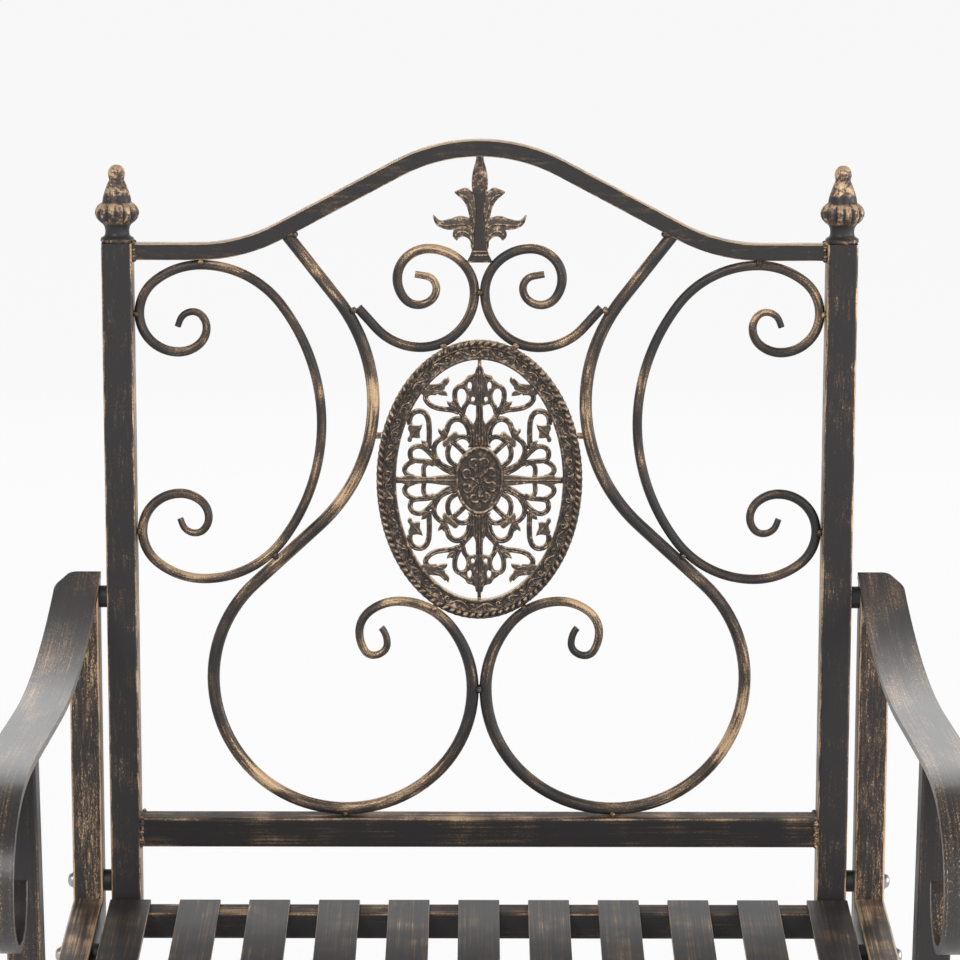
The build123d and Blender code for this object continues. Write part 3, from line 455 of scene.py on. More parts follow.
fleur = bmesh.new()
veins = tendrils("fleur_veins")
for x_side in (1, -1):
    for half, outline in fleur_leaves:
        plate(fleur, [(x_side * x, y) for x, y in outline], half, half * 0.45)
    for half, outline in fleur_leaves:
        for face_side in (1, -1):
            rim = [(x_side * x, y) for x, y in outline]
            tendril(veins, rim, [RIM_RADIUS] * len(rim), face_side * half * 0.8, closed=True)
    for half, places in fleur_veins:
        for face_side in (1, -1):
            thick = [VEIN_RADIUS] * (len(places) - 1) + [VEIN_RADIUS / 2]
            tendril(veins, [(x_side * x, y) for x, y in places], thick, face_side * half)
spear = bmesh.new()
plate(spear, both_halves(FLEUR_SPEAR), SPEAR_HALF, 1.7)
plate(spear, both_halves(FLEUR_COLLAR), COLLAR_HALF, 0.8, straight=True)
for face_side in (1, -1):
    rim = both_halves(FLEUR_SPEAR)
    tendril(veins, rim, [RIM_RADIUS] * len(rim), face_side * SPEAR_HALF * 0.7, closed=True)
    for wide, height in FLEUR_COLLAR[:2]:
        tendril(veins, [(-wide, height), (wide, height)], [VEIN_RADIUS] * 2, face_side * COLLAR_HALF)
add_plates("fleur_leaves", fleur, leaf_paint, "fleur_de_lis")
add_plates("fleur_spear", spear, spear_paint)
add_piece("fleur_veins", cast_mesh(veins), vein_paint, "bronzed_casting")

# Medallion: one oval casting. A twisted rope edge, a flat band with a running vine, a raised line on
# each side of the band, and inside it a filigree of palmettes and tendrils round a small oval boss.
OVAL_WIDE = 74.7
OVAL_TALL = 102.7
OVAL_STEPS = 192
ROPE_IN = 2.9
ROPE_TURNS = 106
ROPE_SLANT = math.radians(38)
BAND_IN = 9.2
FIELD = 2.7
VINE_WAVES = 26
VINE_SWING = 2.3
VINE_RADIUS = 0.72
CURL_RADII = [0.6, 0.7, 0.75, 0.7, 0.7, 0.7, 0.9]
CURL_START = -150
CURL_STEP = 58
CURL_REACH = 2.5
CURL_CLOSING = 0.3
RING_LINE = [
    (0.4, 1.6), (1.2, 2.4), (4.0, 2.4), (4.6, 2.6), (4.9, 3.5), (5.3, 3.9), (5.7, 3.5), (6.0, FIELD),
    (12.0, FIELD), (12.5, 3.7), (13.1, 4.4), (13.9, 4.3), (14.4, 3.6), (14.5, 2.6),
]
ROPE_LOBE = (4.0, 2.1, 4.6, 1)


def oval_points(inset, count):
    """Places at equal steps round an oval inside the medallion's edge, with the way onwards."""
    wide = OVAL_WIDE - inset
    tall = OVAL_TALL - inset
    turns = [math.tau * step / 2000 for step in range(2001)]
    fine = [Vector((wide * math.sin(turn), tall * math.cos(turn), 0)) for turn in turns]
    walked = [0.0]
    for first, second in zip(fine, fine[1:]):
        walked.append(walked[-1] + (second - first).length)
    found = []
    index = 0
    for step in range(count):
        target = walked[-1] * step / count
        while walked[index + 1] < target:
            index += 1
        share = (target - walked[index]) / (walked[index + 1] - walked[index])
        onwards = (fine[index + 1] - fine[index]).normalized()
        found.append((fine[index].lerp(fine[index + 1], share), onwards))
    return found


def oval_moulding(shape, line, wide, tall):
    """Closed moulding round an oval: line gives insets and heights of its front, mirrored behind."""
    whole = line + [(inset, -height) for inset, height in reversed(line)]
    corners = [shape.verts.new((1, 0, number)) for number in range(len(whole))]
    sides = [shape.edges.new((corners[number - 1], corners[number])) for number in range(len(whole))]
    bmesh.ops.spin(shape, geom=corners + sides, cent=(0, 0, 0), axis=(0, 0, 1), angle=math.tau,
                   steps=OVAL_STEPS, use_merge=True)
    for vert in shape.verts:
        inset, height = whole[round(vert.co.z)]
        vert.co = (vert.co.x * (wide - inset), vert.co.y * (tall - inset), height)
    bmesh.ops.remove_doubles(shape, verts=shape.verts, dist=1e-3)
    bmesh.ops.recalc_face_normals(shape, faces=shape.faces)


ring = bmesh.new()
oval_moulding(ring, RING_LINE, OVAL_WIDE, OVAL_TALL)
ring.transform(panel_place)
add_piece("medallion_ring", mesh_of(ring, "medallion_ring"), casting_paint, "bronzed_casting", "medallion")

rope = bmesh.new()
for centre, onwards in oval_points(ROPE_IN, ROPE_TURNS):
    turn = Matrix.Rotation(math.atan2(onwards.y, onwards.x) + ROPE_SLANT, 4, "Z")
    lobe = Matrix.Translation(centre) @ turn @ Matrix.Diagonal(ROPE_LOBE)
    bmesh.ops.create_uvsphere(rope, u_segments=10, v_segments=8, radius=1, matrix=lobe)
rope.transform(panel_place)
add_piece("medallion_rope", mesh_of(rope, "medallion_rope"), ridge_paint, "bronzed_casting")

vine = tendrils("medallion_vine")
vine_line = oval_points(BAND_IN, VINE_WAVES * 8)
for face_side in (1, -1):
    waves = []
    for step, (centre, onwards) in enumerate(vine_line):
        outwards = Vector((-onwards.y, onwards.x, 0))
        waves.append(centre + outwards * VINE_SWING * math.sin(math.tau * step / 8))
    tendril(vine, waves, [VINE_RADIUS] * len(waves), face_side * FIELD, closed=True)
    for half in range(VINE_WAVES * 2):
        centre, onwards = vine_line[half * 4 + 2]
        inwards = Vector((onwards.y, -onwards.x, 0)) * (1 if half % 2 == 0 else -1)
        curl = []
        for step in range(len(CURL_RADII)):
            turn = math.radians(CURL_STEP * step + CURL_START)
            reach = CURL_REACH - CURL_CLOSING * step
            spoke = onwards * math.cos(turn) + inwards * math.sin(turn)
            curl.append(centre + inwards * 0.5 + spoke * reach)
        tendril(vine, curl, CURL_RADII, face_side * FIELD)
add_piece("medallion_vine", cast_mesh(vine), ridge_paint, "bronzed_casting")

# Filigree of the medallion: drawn for one quarter and mirrored. Each strand is a pair of round tendrils
# side by side with a groove between; palmettes and leaves are plates with rounded edges.
STRAND_DEEP = 1.25
LEAF_HALF = 2.1
LEAF_FACE = LEAF_HALF / STRAND_DEEP
LEAF_EDGE = 0.5
BAR_HALF = 2.9
strands = [
    (1.7, (4.5, 26), (6, 35), (8.5, 42), (13, 48.5), (17, 53), (21, 56.5)),
    (1.9, (7, 33), (8.3, 38.5), (12, 43.3), (16.5, 44.6), (21.2, 42.2), (23.4, 37), (25.6, 31.5)),
    (1.75, (15, 49.5), (20, 51.2), (26, 51.9), (33, 53.6), (37.5, 57), (38.9, 60.5), (37.2, 63.2),
     (34, 64), (31, 63.8)),
    (1.7, (14, 50.5), (16.8, 56), (17.8, 61.5), (16.8, 66.5), (13.5, 68.6), (10, 67.6)),
    (1.7, (12, 49), (10.8, 53.5), (8.6, 57), (7.6, 62), (9, 66.5)),
    (1.7, (16, 6.5), (26, 10.5), (32, 15.5), (38, 21.8), (42, 24.4), (46, 24.4), (49.3, 22), (50, 18.5),
     (48.8, 15.4), (45.5, 14.2), (40.5, 13.8), (35.5, 13.2), (31, 11.8)),
    (1.5, (16, 3.6), (25, 7.6), (31, 12)),
    (1.7, (47, 14), (51.6, 11.6), (54, 8), (53.2, 5.2), (50.4, 3), (47.5, 2)),
    (1.6, (33, 11.3), (37, 12.4), (39.8, 10.2), (40.4, 6.5), (39.8, 1.5)),
    (1.8, (36.6, 23), (36.3, 30), (36.3, 38), (37.2, 45), (39.8, 49.2), (44, 50.4), (48.2, 48.6), (50.2, 45),
     (50.3, 40.5)),
    (1.7, (10.5, 19.5), (16.5, 25.4), (20.5, 28.6)),
    (1.7, (15.5, 9.5), (21.6, 14.5), (22.9, 20.5), (21.5, 26)),
    (1.7, (29.5, 13.5), (32.4, 19), (32.4, 25), (28.8, 29.6), (25, 31.5)),
    (1.7, (5.5, 26.5), (8.6, 30.6), (13.5, 31.6), (18.5, 28.8)),
]
leaves = [
    ((22.6, 75.8), (24.6, 73.2), (27.5, 71.2), (31, 70.3), (34.5, 70), (38.4, 69), (38.6, 67), (36, 66.6),
     (31, 66.2), (27, 66.1), (25, 66.6), (24.7, 68.2), (22.6, 70.6), (21.6, 73)),
    ((25.2, 65.3), (30, 65.9), (36, 66.4), (41.2, 65.4), (41.6, 63), (38.5, 61.8), (36, 63.4), (31.5, 63.4),
     (28, 62.1), (26, 61.9), (23, 61.6), (23.4, 63.6)),
    ((41, 41), (44, 40), (47, 40.2), (50.4, 41.4), (51.6, 38), (50.5, 35), (50.4, 33), (52, 30), (51, 28.1),
     (49.2, 28.3), (48, 31), (45.5, 30.8), (42.6, 31), (42.9, 33), (42.9, 35.5), (41.8, 38)),
    ((36.5, 23.5), (37.6, 27), (39, 28.4), (42.3, 29), (41, 26.8), (43, 24.4), (40, 22.5)),
    ((24.2, 32), (24.4, 36), (25.8, 37.8), (27.6, 36.2), (30, 37.8), (29.6, 35), (28.4, 33.2), (28.6, 30.6)),
    ((17, 53), (18.6, 57), (20.8, 57), (23.8, 57.8), (22.8, 55.2), (19.5, 52)),
]
bar = ((14.8, 33.2), (17.2, 35.4), (20.2, 33.6), (26.8, 26.6), (25.2, 24), (22.6, 25.8), (17, 31.2))
fan = ((8.4, 24), (6.7, 29), (6.9, 34), (8.8, 39.5), (12.4, 44.6), (10.2, 47.4), (7, 44), (4.5, 41.2),
       (3.1, 44), (2.4, 50), (2.3, 55))
palmette = ((2.2, 54.5), (5, 55.2), (8.6, 56.4), (9.3, 60), (9.4, 64.3), (11, 66.8), (14, 67), (16, 69),
            (13, 71.4), (10.3, 73.5), (8.6, 76.2), (5.2, 77.3), (2.8, 79.2), (1.6, 83), (1.4, 89.4))
palm_holes = ((4.7, 59.4, 1.4, 1.7), (7.1, 69, 1.5, 2.9))
palm_ridges = (
    ((2.4, 25), (2.1, 34), (1.9, 44), (1.8, 54)),
    ((4.6, 25), (4.4, 33), (5.2, 39), (7.4, 43.4)),
    ((6.6, 25), (5.7, 30), (6.2, 35), (8.2, 40), (11, 45)),
    ((8, 57.4), (8.2, 61), (8.2, 65), (10.4, 68)),
    ((2.6, 57), (2.8, 63), (4.4, 67.6), (4.8, 72), (3, 76.6), (1.6, 82)),
    ((13.4, 69.4), (10, 72), (8.2, 74.8), (5, 76)),
)
side_spear = ((15, 4), (24, 3.8), (31, 3), (36, 2.4), (44, 2.8), (52, 3.8), (56, 2.4), (61.4, 1.4))
web = tendrils("medallion_filigree")
leafwork = bmesh.new()


def strand(places, radius):
    """Two tendrils side by side along the places."""
    points = [Vector((x, y, 0)) for x, y in places]
    for aside in (1, -1):
        rail = []
        for index, point in enumerate(points):
            onwards = points[min(index + 1, len(points) - 1)] - points[max(index - 1, 0)]
            across = Vector((-onwards.y, onwards.x, 0)).normalized()
            rail.append(point + across * aside * radius * 0.46)
        tendril(web, rail, [radius * 0.66] * len(rail))


def on_oval(wide, tall, angle):
    """Place on an oval round the middle of the panel."""
    return Vector((wide * math.cos(angle), tall * math.sin(angle)))


def hole(x, y, wide, tall):
    """Outline of a small oval hole."""
    return [Vector((x, y)) + on_oval(wide, tall, math.tau * step / 8) for step in range(8)]


for x_side in (1, -1):
    for y_side in (1, -1):
        for radius, *places in strands:
            strand([(x_side * x, y_side * y) for x, y in places], radius)
        for places in leaves:
            outline = [Vector((x_side * x, y_side * y)) for x, y in places]
            plate(leafwork, outline, LEAF_HALF, LEAF_EDGE)
            middle = sum(outline, Vector((0, 0))) / len(outline)
            vein = [outline[0].lerp(middle, 0.3), middle, outline[len(outline) // 2].lerp(middle, 0.3)]
            for face_side in (1, -1):
                tendril(web, vein, [0.5, 0.8, 0.5], face_side * LEAF_FACE)
        plate(leafwork, [(x_side * x, y_side * y) for x, y in bar], BAR_HALF)
for way in (1, -1):
    plate(leafwork, [(x, way * y) for x, y in both_halves(fan)], LEAF_HALF)
    pierced = [hole(x_side * x, way * y, wide, tall) for x, y, wide, tall in palm_holes for x_side in (1, -1)]
    plate(leafwork, [(x, way * y) for x, y in both_halves(palmette)], LEAF_HALF, holes=pierced)
    plate(leafwork, [(way * y, x) for x, y in both_halves([(x, y) for y, x in side_spear])], LEAF_HALF)
    for face_side in (1, -1):
        tendril(web, [(0, way * y) for y in (25, 45, 65, 86)], [0.8] * 4, face_side * LEAF_FACE)
        for x_side in (1, -1):
            for line in palm_ridges:
                places = [(x_side * x, way * y) for x, y in line]
                tendril(web, places, [0.75] * len(line), face_side * LEAF_FACE)
        tendril(web, [(way * x, 0) for x in (17, 30, 45, 60)], [0.7] * 4, face_side * LEAF_FACE)
add_piece("medallion_filigree", cast_mesh(web, STRAND_DEEP), ridge_paint, "bronzed_casting")
add_plates("medallion_leaves", leafwork, leaf_paint)

# Boss of the medallion: a shallow oval dish cast in one with the filigree. It has a raised rim, and
# eight curls that spring from a small rosette.
BOSS_WIDE = 17.75
BOSS_TALL = 25.1
BOSS_FLOOR = 3.0
BOSS_LINE = [(0.0, 2.4), (0.4, 3.6), (1.3, 4.2), (2.2, 3.6), (2.6, BOSS_FLOOR), (3.4, 2.2)]
BOSS_RIM = 1.25
BOSS_RIM_OVAL = (16.4, 23.7)
BOSS_RIM_HEIGHT = 3.4
BOSS_RIM_STEPS = 32
CURLS = 8
CURL_EYES = (9.4, 13.6)
CURL_ROOTS = (2.6, 3.6)
CURL_TILT = 0.5
CURL_TURN = math.radians(55)
STEM_RADII = [0.8] + [1.05] * 6 + [1.4]
boss = bmesh.new()
oval_moulding(boss, BOSS_LINE, BOSS_WIDE, BOSS_TALL)
dish = Matrix.Diagonal((BOSS_WIDE - 2, BOSS_TALL - 2, 2 * BOSS_FLOOR, 1))
bmesh.ops.create_cone(boss, cap_ends=True, segments=OVAL_STEPS, radius1=1, radius2=1, depth=1, matrix=dish)
boss.transform(panel_place)
add_piece("medallion_boss", mesh_of(boss, "medallion_boss", False), casting_paint, "bronzed_casting")
curls = tendrils("medallion_curls")
for face_side in (1, -1):
    rim = [on_oval(*BOSS_RIM_OVAL, math.tau * step / BOSS_RIM_STEPS) for step in range(BOSS_RIM_STEPS)]
    tendril(curls, rim, [BOSS_RIM] * len(rim), face_side * BOSS_RIM_HEIGHT, closed=True)
    for number in range(CURLS):
        angle = math.tau * (number + 0.5) / CURLS
        eye = on_oval(*CURL_EYES, angle)
        stem = [on_oval(*CURL_ROOTS, angle + CURL_TILT)]
        for step in range(len(STEM_RADII) - 1):
            reach = 4.3 - 0.42 * step
            stem.append(eye + on_oval(reach, reach, angle + math.pi - CURL_TILT - CURL_TURN * step))
        tendril(curls, stem, STEM_RADII, face_side * BOSS_FLOOR)
        petal = [on_oval(reach, reach, angle) for reach in (1.3, 2.9)]
        tendril(curls, petal, [0.5, 0.8], face_side * BOSS_FLOOR)
add_piece("medallion_curls", cast_mesh(curls), ridge_paint, "bronzed_casting")

# Welds: uneven beads of weld metal where the rods touch each other and the rails, and where the two
# rails meet the posts. They are painted over with the rest but catch more bronze.
WELD_LUMP = 0.28
TACK_SIZE = 2.2
SEAM_APART = 2.0
SEAM_NEAR = 246.4
SEAM_FAR = 247.4
ARCH_SEAM = (160.6, 172, 5.9)
RAIL_SEAM = (-271, -250.5, 10.6)
ROD_END_DROP = 1.7
ROD_END_FACE = 3.6
weld_paint = bronzed_paint("bronzed_weld", (300, 300, 300), 1.34)
random.seed(7)


def lowest(body):
    """Lowest corner of the box round some points."""
    return [min(point[axis] for point in body) for axis in range(3)]


def islands(node):
    """The separate bodies of a solid, as lists of points, in a lasting order."""
    shape = bmesh.new()
    shape.from_mesh(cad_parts[node].data)
    bmesh.ops.remove_doubles(shape, verts=shape.verts, dist=1e-6)
    waiting = set(shape.verts)
    found = []
    while waiting:
        front = [waiting.pop()]
        body = []
        while front:
            vert = front.pop()
            body.append(vert.co.copy())
            for edge in vert.link_edges:
                other = edge.other_vert(vert)
                if other in waiting:
                    waiting.remove(other)
                    front.append(other)
        found.append(body)
    shape.free()
    return sorted(found, key=lambda body: [round(value, 4) for value in lowest(body)])


def middle_of(body):
    """Middle of the box round some points."""
    highest = [max(point[axis] for point in body) for axis in range(3)]
    return (Vector(lowest(body)) + Vector(highest)) / 2


welds = bmesh.new()


def weld_lump(middle, size):
    """An uneven drop of weld metal, size in millimetres."""
    made = bmesh.ops.create_icosphere(welds, subdivisions=2, radius=1)["verts"]
    for vert in made:
        vert.co *= 1 + WELD_LUMP * noise.noise(vert.co * 1.7 + middle * 900)
    sizes = [size * random.uniform(0.85, 1.15) * MILLIMETRE for axis in range(3)]
    bmesh.ops.scale(welds, verts=made, vec=sizes)
    bmesh.ops.translate(welds, verts=made, vec=middle)


for body in islands("weld_tacks"):
    weld_lump(middle_of(body), TACK_SIZE)
for x_side in (1, -1):
    for low, high, face in (ARCH_SEAM, RAIL_SEAM):
        drops = int((high - low) / SEAM_APART)
        for drop in range(drops + 1):
            for face_side in (1, -1):
                height = low + (high - low) * drop / drops
                spot = (x_side * random.uniform(SEAM_NEAR, SEAM_FAR), height, face_side * face)
                weld_lump(panel_place @ Vector(spot), random.uniform(1.2, 2.0))
for node in ("lyre_rod_left", "lyre_rod_right"):
    tops = [panel_back @ vert.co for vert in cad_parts[node].data.vertices]
    head = max(tops, key=lambda point: point.y)
    for aside in (-1.6, 0, 1.6):
        for face_side in (1, -1):
            spot = (head.x + aside, head.y - 1, face_side * ROD_END_FACE)
            weld_lump(panel_place @ Vector(spot), ROD_END_DROP)
add_piece("weld_beads", mesh_of(welds, "weld_beads"), weld_paint, "bronzed_steel", "weld_tacks")

# Side frames: square tube legs with a strip arm welded on top, which dips, rises and rolls over at
# the front. The arm is brushed along its length and shines where the light grazes it. The front legs
# are painted darker than the rear ones, with less bronze, and the side faces of the rear legs take a
# little more bronze as a painted highlight.
ARM_ROUND = 0.7 * MILLIMETRE
ARM_CORNER = 4.5 * MILLIMETRE
arm_paint = bronzed_paint("bronzed_arm", (900, 9, 9), 1.46, SIDEWAYS, 0.35, upper_brush_and_highlight=0.0, gloss=0.55, dull=0.22,
                          mottle=(45, 12, 12), flecks=(2600, 560, 560), flecked=0.7)
leg_paint = bronzed_paint("bronzed_leg", (620, 620, 8), 1.42, SIDEWAYS, 0.35, side=0.15, mottle=(40, 40, 14),
                          flecks=(2600, 2600, 420), flecked=0.5)
front_leg_paint = bronzed_paint("bronzed_front_leg", (620, 620, 8), 1.60, SIDEWAYS, 0.25,
                                mottle=(40, 40, 14), flecks=(2600, 2600, 420), flecked=0.3)
for side in ("left", "right"):
    eased_copy("arm_" + side, "arm_strip_" + side, ARM_ROUND, arm_paint, ARM_CORNER)
    painted("rear_leg_" + side, leg_paint)
    painted("front_leg_" + side, front_leg_paint)

# Side rails and seat panel: square tube, a cross bar and strip slats that roll over the front tube,
# brushed in the same way.
SLAT_ROUND = 0.5 * MILLIMETRE
SLATS = 11
depth_paint = bronzed_paint("bronzed_depth", (620, 10, 620), 1.56, SIDEWAYS, 0.5)
slat_paint = bronzed_paint("bronzed_slat", (900, 9, 40), 1.52, SIDEWAYS, 0.4, upper_brush_and_highlight=0.05)
for side in ("left", "right"):
    painted("side_rail_" + side, depth_paint)
    painted("seat_side_rail_" + side, depth_paint)
for rail in ("seat_front_rail", "seat_rear_rail", "seat_cross_bar"):
    painted(rail, cross_paint)
for number in range(1, SLATS + 1):
    eased_copy("seat_slat_%d" % number, "slat_%d" % number, SLAT_ROUND, slat_paint)

# Plugs and spacers: black moulded plastic with a fine grain. The plugs close the ends of the tubes,
# and the spacers sit on the bolts between the legs and the posts and seat rails.
plastic = bpy.data.materials.new("black_plastic")
plastic.use_nodes = True
moulded = plastic.node_tree
moulded_shader = moulded.nodes["Principled BSDF"]
moulded_shader.inputs["Base Color"].default_value = (0.012, 0.012, 0.012, 1)
moulded_place = moulded.nodes.new("ShaderNodeTexCoord")
moulded_grain = moulded.nodes.new("ShaderNodeTexNoise")
moulded_grain.inputs["Scale"].default_value = 2400
moulded.links.new(moulded_place.outputs["Object"], moulded_grain.inputs["Vector"])
moulded_dull = moulded.nodes.new("ShaderNodeMapRange")
moulded_dull.inputs["To Min"].default_value = 0.45
moulded_dull.inputs["To Max"].default_value = 0.65
moulded.links.new(moulded_grain.outputs[0], moulded_dull.inputs["Value"])
moulded.links.new(moulded_dull.outputs[0], moulded_shader.inputs["Roughness"])
moulded_pits = moulded.nodes.new("ShaderNodeBump")
moulded_pits.inputs["Strength"].default_value = 0.2
moulded_pits.inputs["Distance"].default_value = 0.0002
moulded.links.new(moulded_grain.outputs[0], moulded_pits.inputs["Height"])
moulded.links.new(moulded_pits.outputs[0], moulded_shader.inputs["Normal"])
for side in ("left", "right"):
    for plug in ("rear_foot_plug_", "front_foot_plug_", "post_plug_"):
        painted(plug + side, plastic)
for group in ("back", "seat"):
    painted(group + "_spacers", plastic)

# Bolts, washers and nuts: zinc-plated steel. The bolts have domed heads with a hexagon socket, and
# hold the back and the seat between the two side frames.
HEAD_STEPS = 24
HEAD_LINE = [(5.25, 0), (5.25, 0.7), (5.0, 1.5), (4.3, 2.4), (3.4, 3.0), (2.5, 3.35), (2.1, 3.4), (1.95, 3.2),
             (1.9, 1.2), (0, 1.2)]
HEAD_THICK = 3.4
SHANK_RADIUS = 2.95
SOCKET_RADIUS = 2.2
plated = bpy.data.materials.new("plated_steel")
plated.use_nodes = True
plating = plated.node_tree
plated_shader = plating.nodes["Principled BSDF"]
plated_shader.inputs["Metallic"].default_value = 1.0
plated_place = plating.nodes.new("ShaderNodeTexCoord")
plated_cloud = plating.nodes.new("ShaderNodeTexNoise")
plated_cloud.inputs["Scale"].default_value = 260
plating.links.new(plated_place.outputs["Object"], plated_cloud.inputs["Vector"])
plated_tone = plating.nodes.new("ShaderNodeMix")
plated_tone.data_type = "RGBA"
plated_tone.inputs[6].default_value = (0.30, 0.30, 0.31, 1)
plated_tone.inputs[7].default_value = (0.52, 0.51, 0.49, 1)
plating.links.new(plated_cloud.outputs[0], plated_tone.inputs[0])
plating.links.new(plated_tone.outputs[2], plated_shader.inputs["Base Color"])
plated_dull = plating.nodes.new("ShaderNodeMapRange")
plated_dull.inputs["To Min"].default_value = 0.25
plated_dull.inputs["To Max"].default_value = 0.5
plating.links.new(plated_cloud.outputs[0], plated_dull.inputs["Value"])
plating.links.new(plated_dull.outputs[0], plated_shader.inputs["Roughness"])
bolts = bmesh.new()
for node in ("back_bolts", "seat_bolts"):
    for body in islands(node):
        axis = middle_of(body)
        x_side = math.copysign(1, axis.x)
        outer = max(abs(point.x) for point in body) / MILLIMETRE
        inner = min(abs(point.x) for point in body) / MILLIMETRE
        shank_low = inner - outer + HEAD_THICK
        line = [(0, shank_low), (SHANK_RADIUS, shank_low), (SHANK_RADIUS, 0)] + HEAD_LINE
        bolt = bmesh.new()
        corners = [bolt.verts.new((radius, 0, height)) for radius, height in line]
        sides = [bolt.edges.new(ends) for ends in zip(corners, corners[1:])]
        bmesh.ops.spin(bolt, geom=corners + sides, cent=(0, 0, 0), axis=(0, 0, 1), angle=math.tau,
                       steps=HEAD_STEPS, use_merge=True)
        bmesh.ops.remove_doubles(bolt, verts=bolt.verts, dist=1e-4)
        for vert in bolt.verts:
            if vert.co.z > 1 and vert.co.xy.length < SOCKET_RADIUS:
                corner = math.radians((math.degrees(math.atan2(vert.co.y, vert.co.x)) % 60) - 30)
                vert.co.xy *= math.cos(math.radians(30)) / math.cos(corner)
            vert.co.z += outer - HEAD_THICK
        turn = Matrix.Rotation(x_side * math.pi / 2, 4, "Y")
        bolt.transform(Matrix.Translation((0, axis.y, axis.z)) @ turn @ Matrix.Scale(MILLIMETRE, 4))
        one_bolt = mesh_of(bolt, "one_bolt", False)
        bolts.from_mesh(one_bolt)
        bpy.data.meshes.remove(one_bolt)
bmesh.ops.recalc_face_normals(bolts, faces=bolts.faces)
add_piece("bolts", mesh_of(bolts, "bolts", False), plated, "fastener_steel", "back_bolts", "seat_bolts")
for group in ("back", "seat"):
    for piece in ("_washers", "_nuts"):
        painted(group + piece, plated)

# Floor, light and camera: a plain white floor under soft studio light. The chair's back is seen from
# the front and a little above.
FLOOR_HALF = 14.0
FLOOR_GLOW = 0.9
floor_shape = bmesh.new()
bmesh.ops.create_grid(floor_shape, x_segments=1, y_segments=1, size=FLOOR_HALF)
floor = bpy.data.objects.new("floor", mesh_of(floor_shape, "floor", False))
bpy.context.scene.collection.objects.link(floor)
floor_paint = bpy.data.materials.new("floor_white")
floor_paint.use_nodes = True
floor_tree = floor_paint.node_tree
floor_tree.nodes.clear()
floor_out = floor_tree.nodes.new("ShaderNodeOutputMaterial")
floor_matt = floor_tree.nodes.new("ShaderNodeBsdfDiffuse")
floor_matt.inputs["Color"].default_value = (0.9, 0.9, 0.9, 1)
floor_glow = floor_tree.nodes.new("ShaderNodeEmission")
floor_mix = floor_tree.nodes.new("ShaderNodeMixShader")
floor_seen = floor_tree.nodes.new("ShaderNodeLightPath")
floor_any = floor_tree.nodes.new("ShaderNodeMath")
floor_any.operation = "MAXIMUM"
floor_tree.links.new(floor_seen.outputs["Is Camera Ray"], floor_any.inputs[0])
floor_tree.links.new(floor_seen.outputs["Is Glossy Ray"], floor_any.inputs[1])
floor_share = floor_tree.nodes.new("ShaderNodeMath")
floor_share.operation = "MULTIPLY"
floor_share.inputs[1].default_value = FLOOR_GLOW
floor_tree.links.new(floor_any.outputs[0], floor_share.inputs[0])
floor_tree.links.new(floor_share.outputs[0], floor_mix.inputs[0])
floor_tree.links.new(floor_matt.outputs[0], floor_mix.inputs[1])
floor_tree.links.new(floor_glow.outputs[0], floor_mix.inputs[2])
floor_tree.links.new(floor_mix.outputs[0], floor_out.inputs[0])
floor.data.materials.append(floor_paint)

SKY_LOW = 0.24
SKY_HIGH = 0.46
SKY_PALE = 0.9
SKY_DIM = 0.3
world = bpy.data.worlds.new("studio")
bpy.context.scene.world = world
world.use_nodes = True
sky = world.node_tree
sky_back = sky.nodes["Background"]
sky_back.inputs["Color"].default_value = (1, 1, 1, 1)
sky_way = sky.nodes.new("ShaderNodeTexCoord")
sky_parts = sky.nodes.new("ShaderNodeSeparateXYZ")
sky.links.new(sky_way.outputs["Generated"], sky_parts.inputs[0])
sky_fade = sky.nodes.new("ShaderNodeMapRange")
sky_fade.interpolation_type = "SMOOTHSTEP"
sky_fade.inputs["From Min"].default_value = SKY_LOW
sky_fade.inputs["From Max"].default_value = SKY_HIGH
sky_fade.inputs["To Min"].default_value = SKY_PALE
sky_fade.inputs["To Max"].default_value = SKY_DIM
sky.links.new(sky_parts.outputs["Z"], sky_fade.inputs["Value"])
sky_seen = sky.nodes.new("ShaderNodeLightPath")
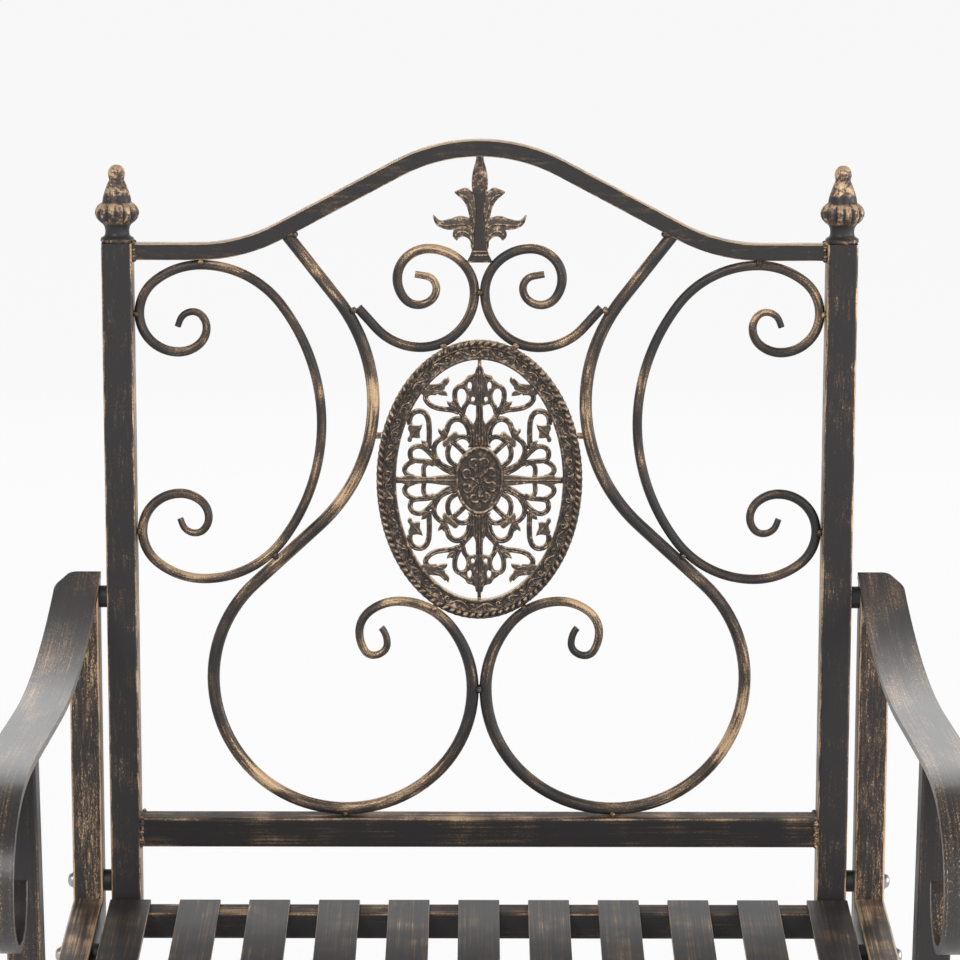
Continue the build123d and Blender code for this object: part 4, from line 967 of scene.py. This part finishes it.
sky_level = sky.nodes.new("ShaderNodeMix")
sky.links.new(sky_seen.outputs["Is Camera Ray"], sky_level.inputs[0])
sky.links.new(sky_fade.outputs[0], sky_level.inputs[2])
sky_level.inputs[3].default_value = 1.0
sky.links.new(sky_level.outputs[0], sky_back.inputs["Strength"])


def softbox(name, place, aim, wide, tall, watts):
    """A studio light that looks at a point."""
    lamp = bpy.data.lights.new(name, "AREA")
    lamp.shape = "RECTANGLE"
    lamp.size = wide
    lamp.size_y = tall
    lamp.energy = watts
    box = bpy.data.objects.new(name, lamp)
    bpy.context.scene.collection.objects.link(box)
    box.location = place
    box.rotation_euler = (Vector(aim) - Vector(place)).to_track_quat("-Z", "Y").to_euler()


softbox("key", (-1.3, -2.2, 2.9), (0, 0.2, 0.7), 1.6, 1.6, 60)
softbox("fill", (1.9, -1.9, 1.9), (0, 0.2, 0.7), 1.6, 1.6, 30)
softbox("right", (2.6, 0.1, 1.1), (0, 0.2, 0.7), 1.2, 1.6, 30)
softbox("low_back", (0, 3.2, 1.3), (0, 0, 0.7), 3.0, 0.9, 16)

CAMERA_AWAY = 2.75
CAMERA_PITCH = math.radians(16.3)
CAMERA_ROLL = math.radians(0.08)
PHOTO_SIDE = 960
FOCAL_PIXELS = 3803
PHOTO_MIDDLE_X = 479.4
camera_data = bpy.data.cameras.new("camera")
camera_data.sensor_width = 36
camera_data.lens = camera_data.sensor_width * FOCAL_PIXELS / PHOTO_SIDE
camera_data.shift_x = (PHOTO_SIDE / 2 - PHOTO_MIDDLE_X) / PHOTO_SIDE
camera = bpy.data.objects.new("camera", camera_data)
bpy.context.scene.collection.objects.link(camera)
camera.location = panel_middle + CAMERA_AWAY * Vector((0, -math.cos(CAMERA_PITCH), math.sin(CAMERA_PITCH)))
tilt = Matrix.Rotation(math.pi / 2 - CAMERA_PITCH, 3, "X") @ Matrix.Rotation(CAMERA_ROLL, 3, "Z")
camera.rotation_euler = tilt.to_euler()
bpy.context.scene.camera = camera
bpy.context.scene.view_settings.view_transform = "Standard"
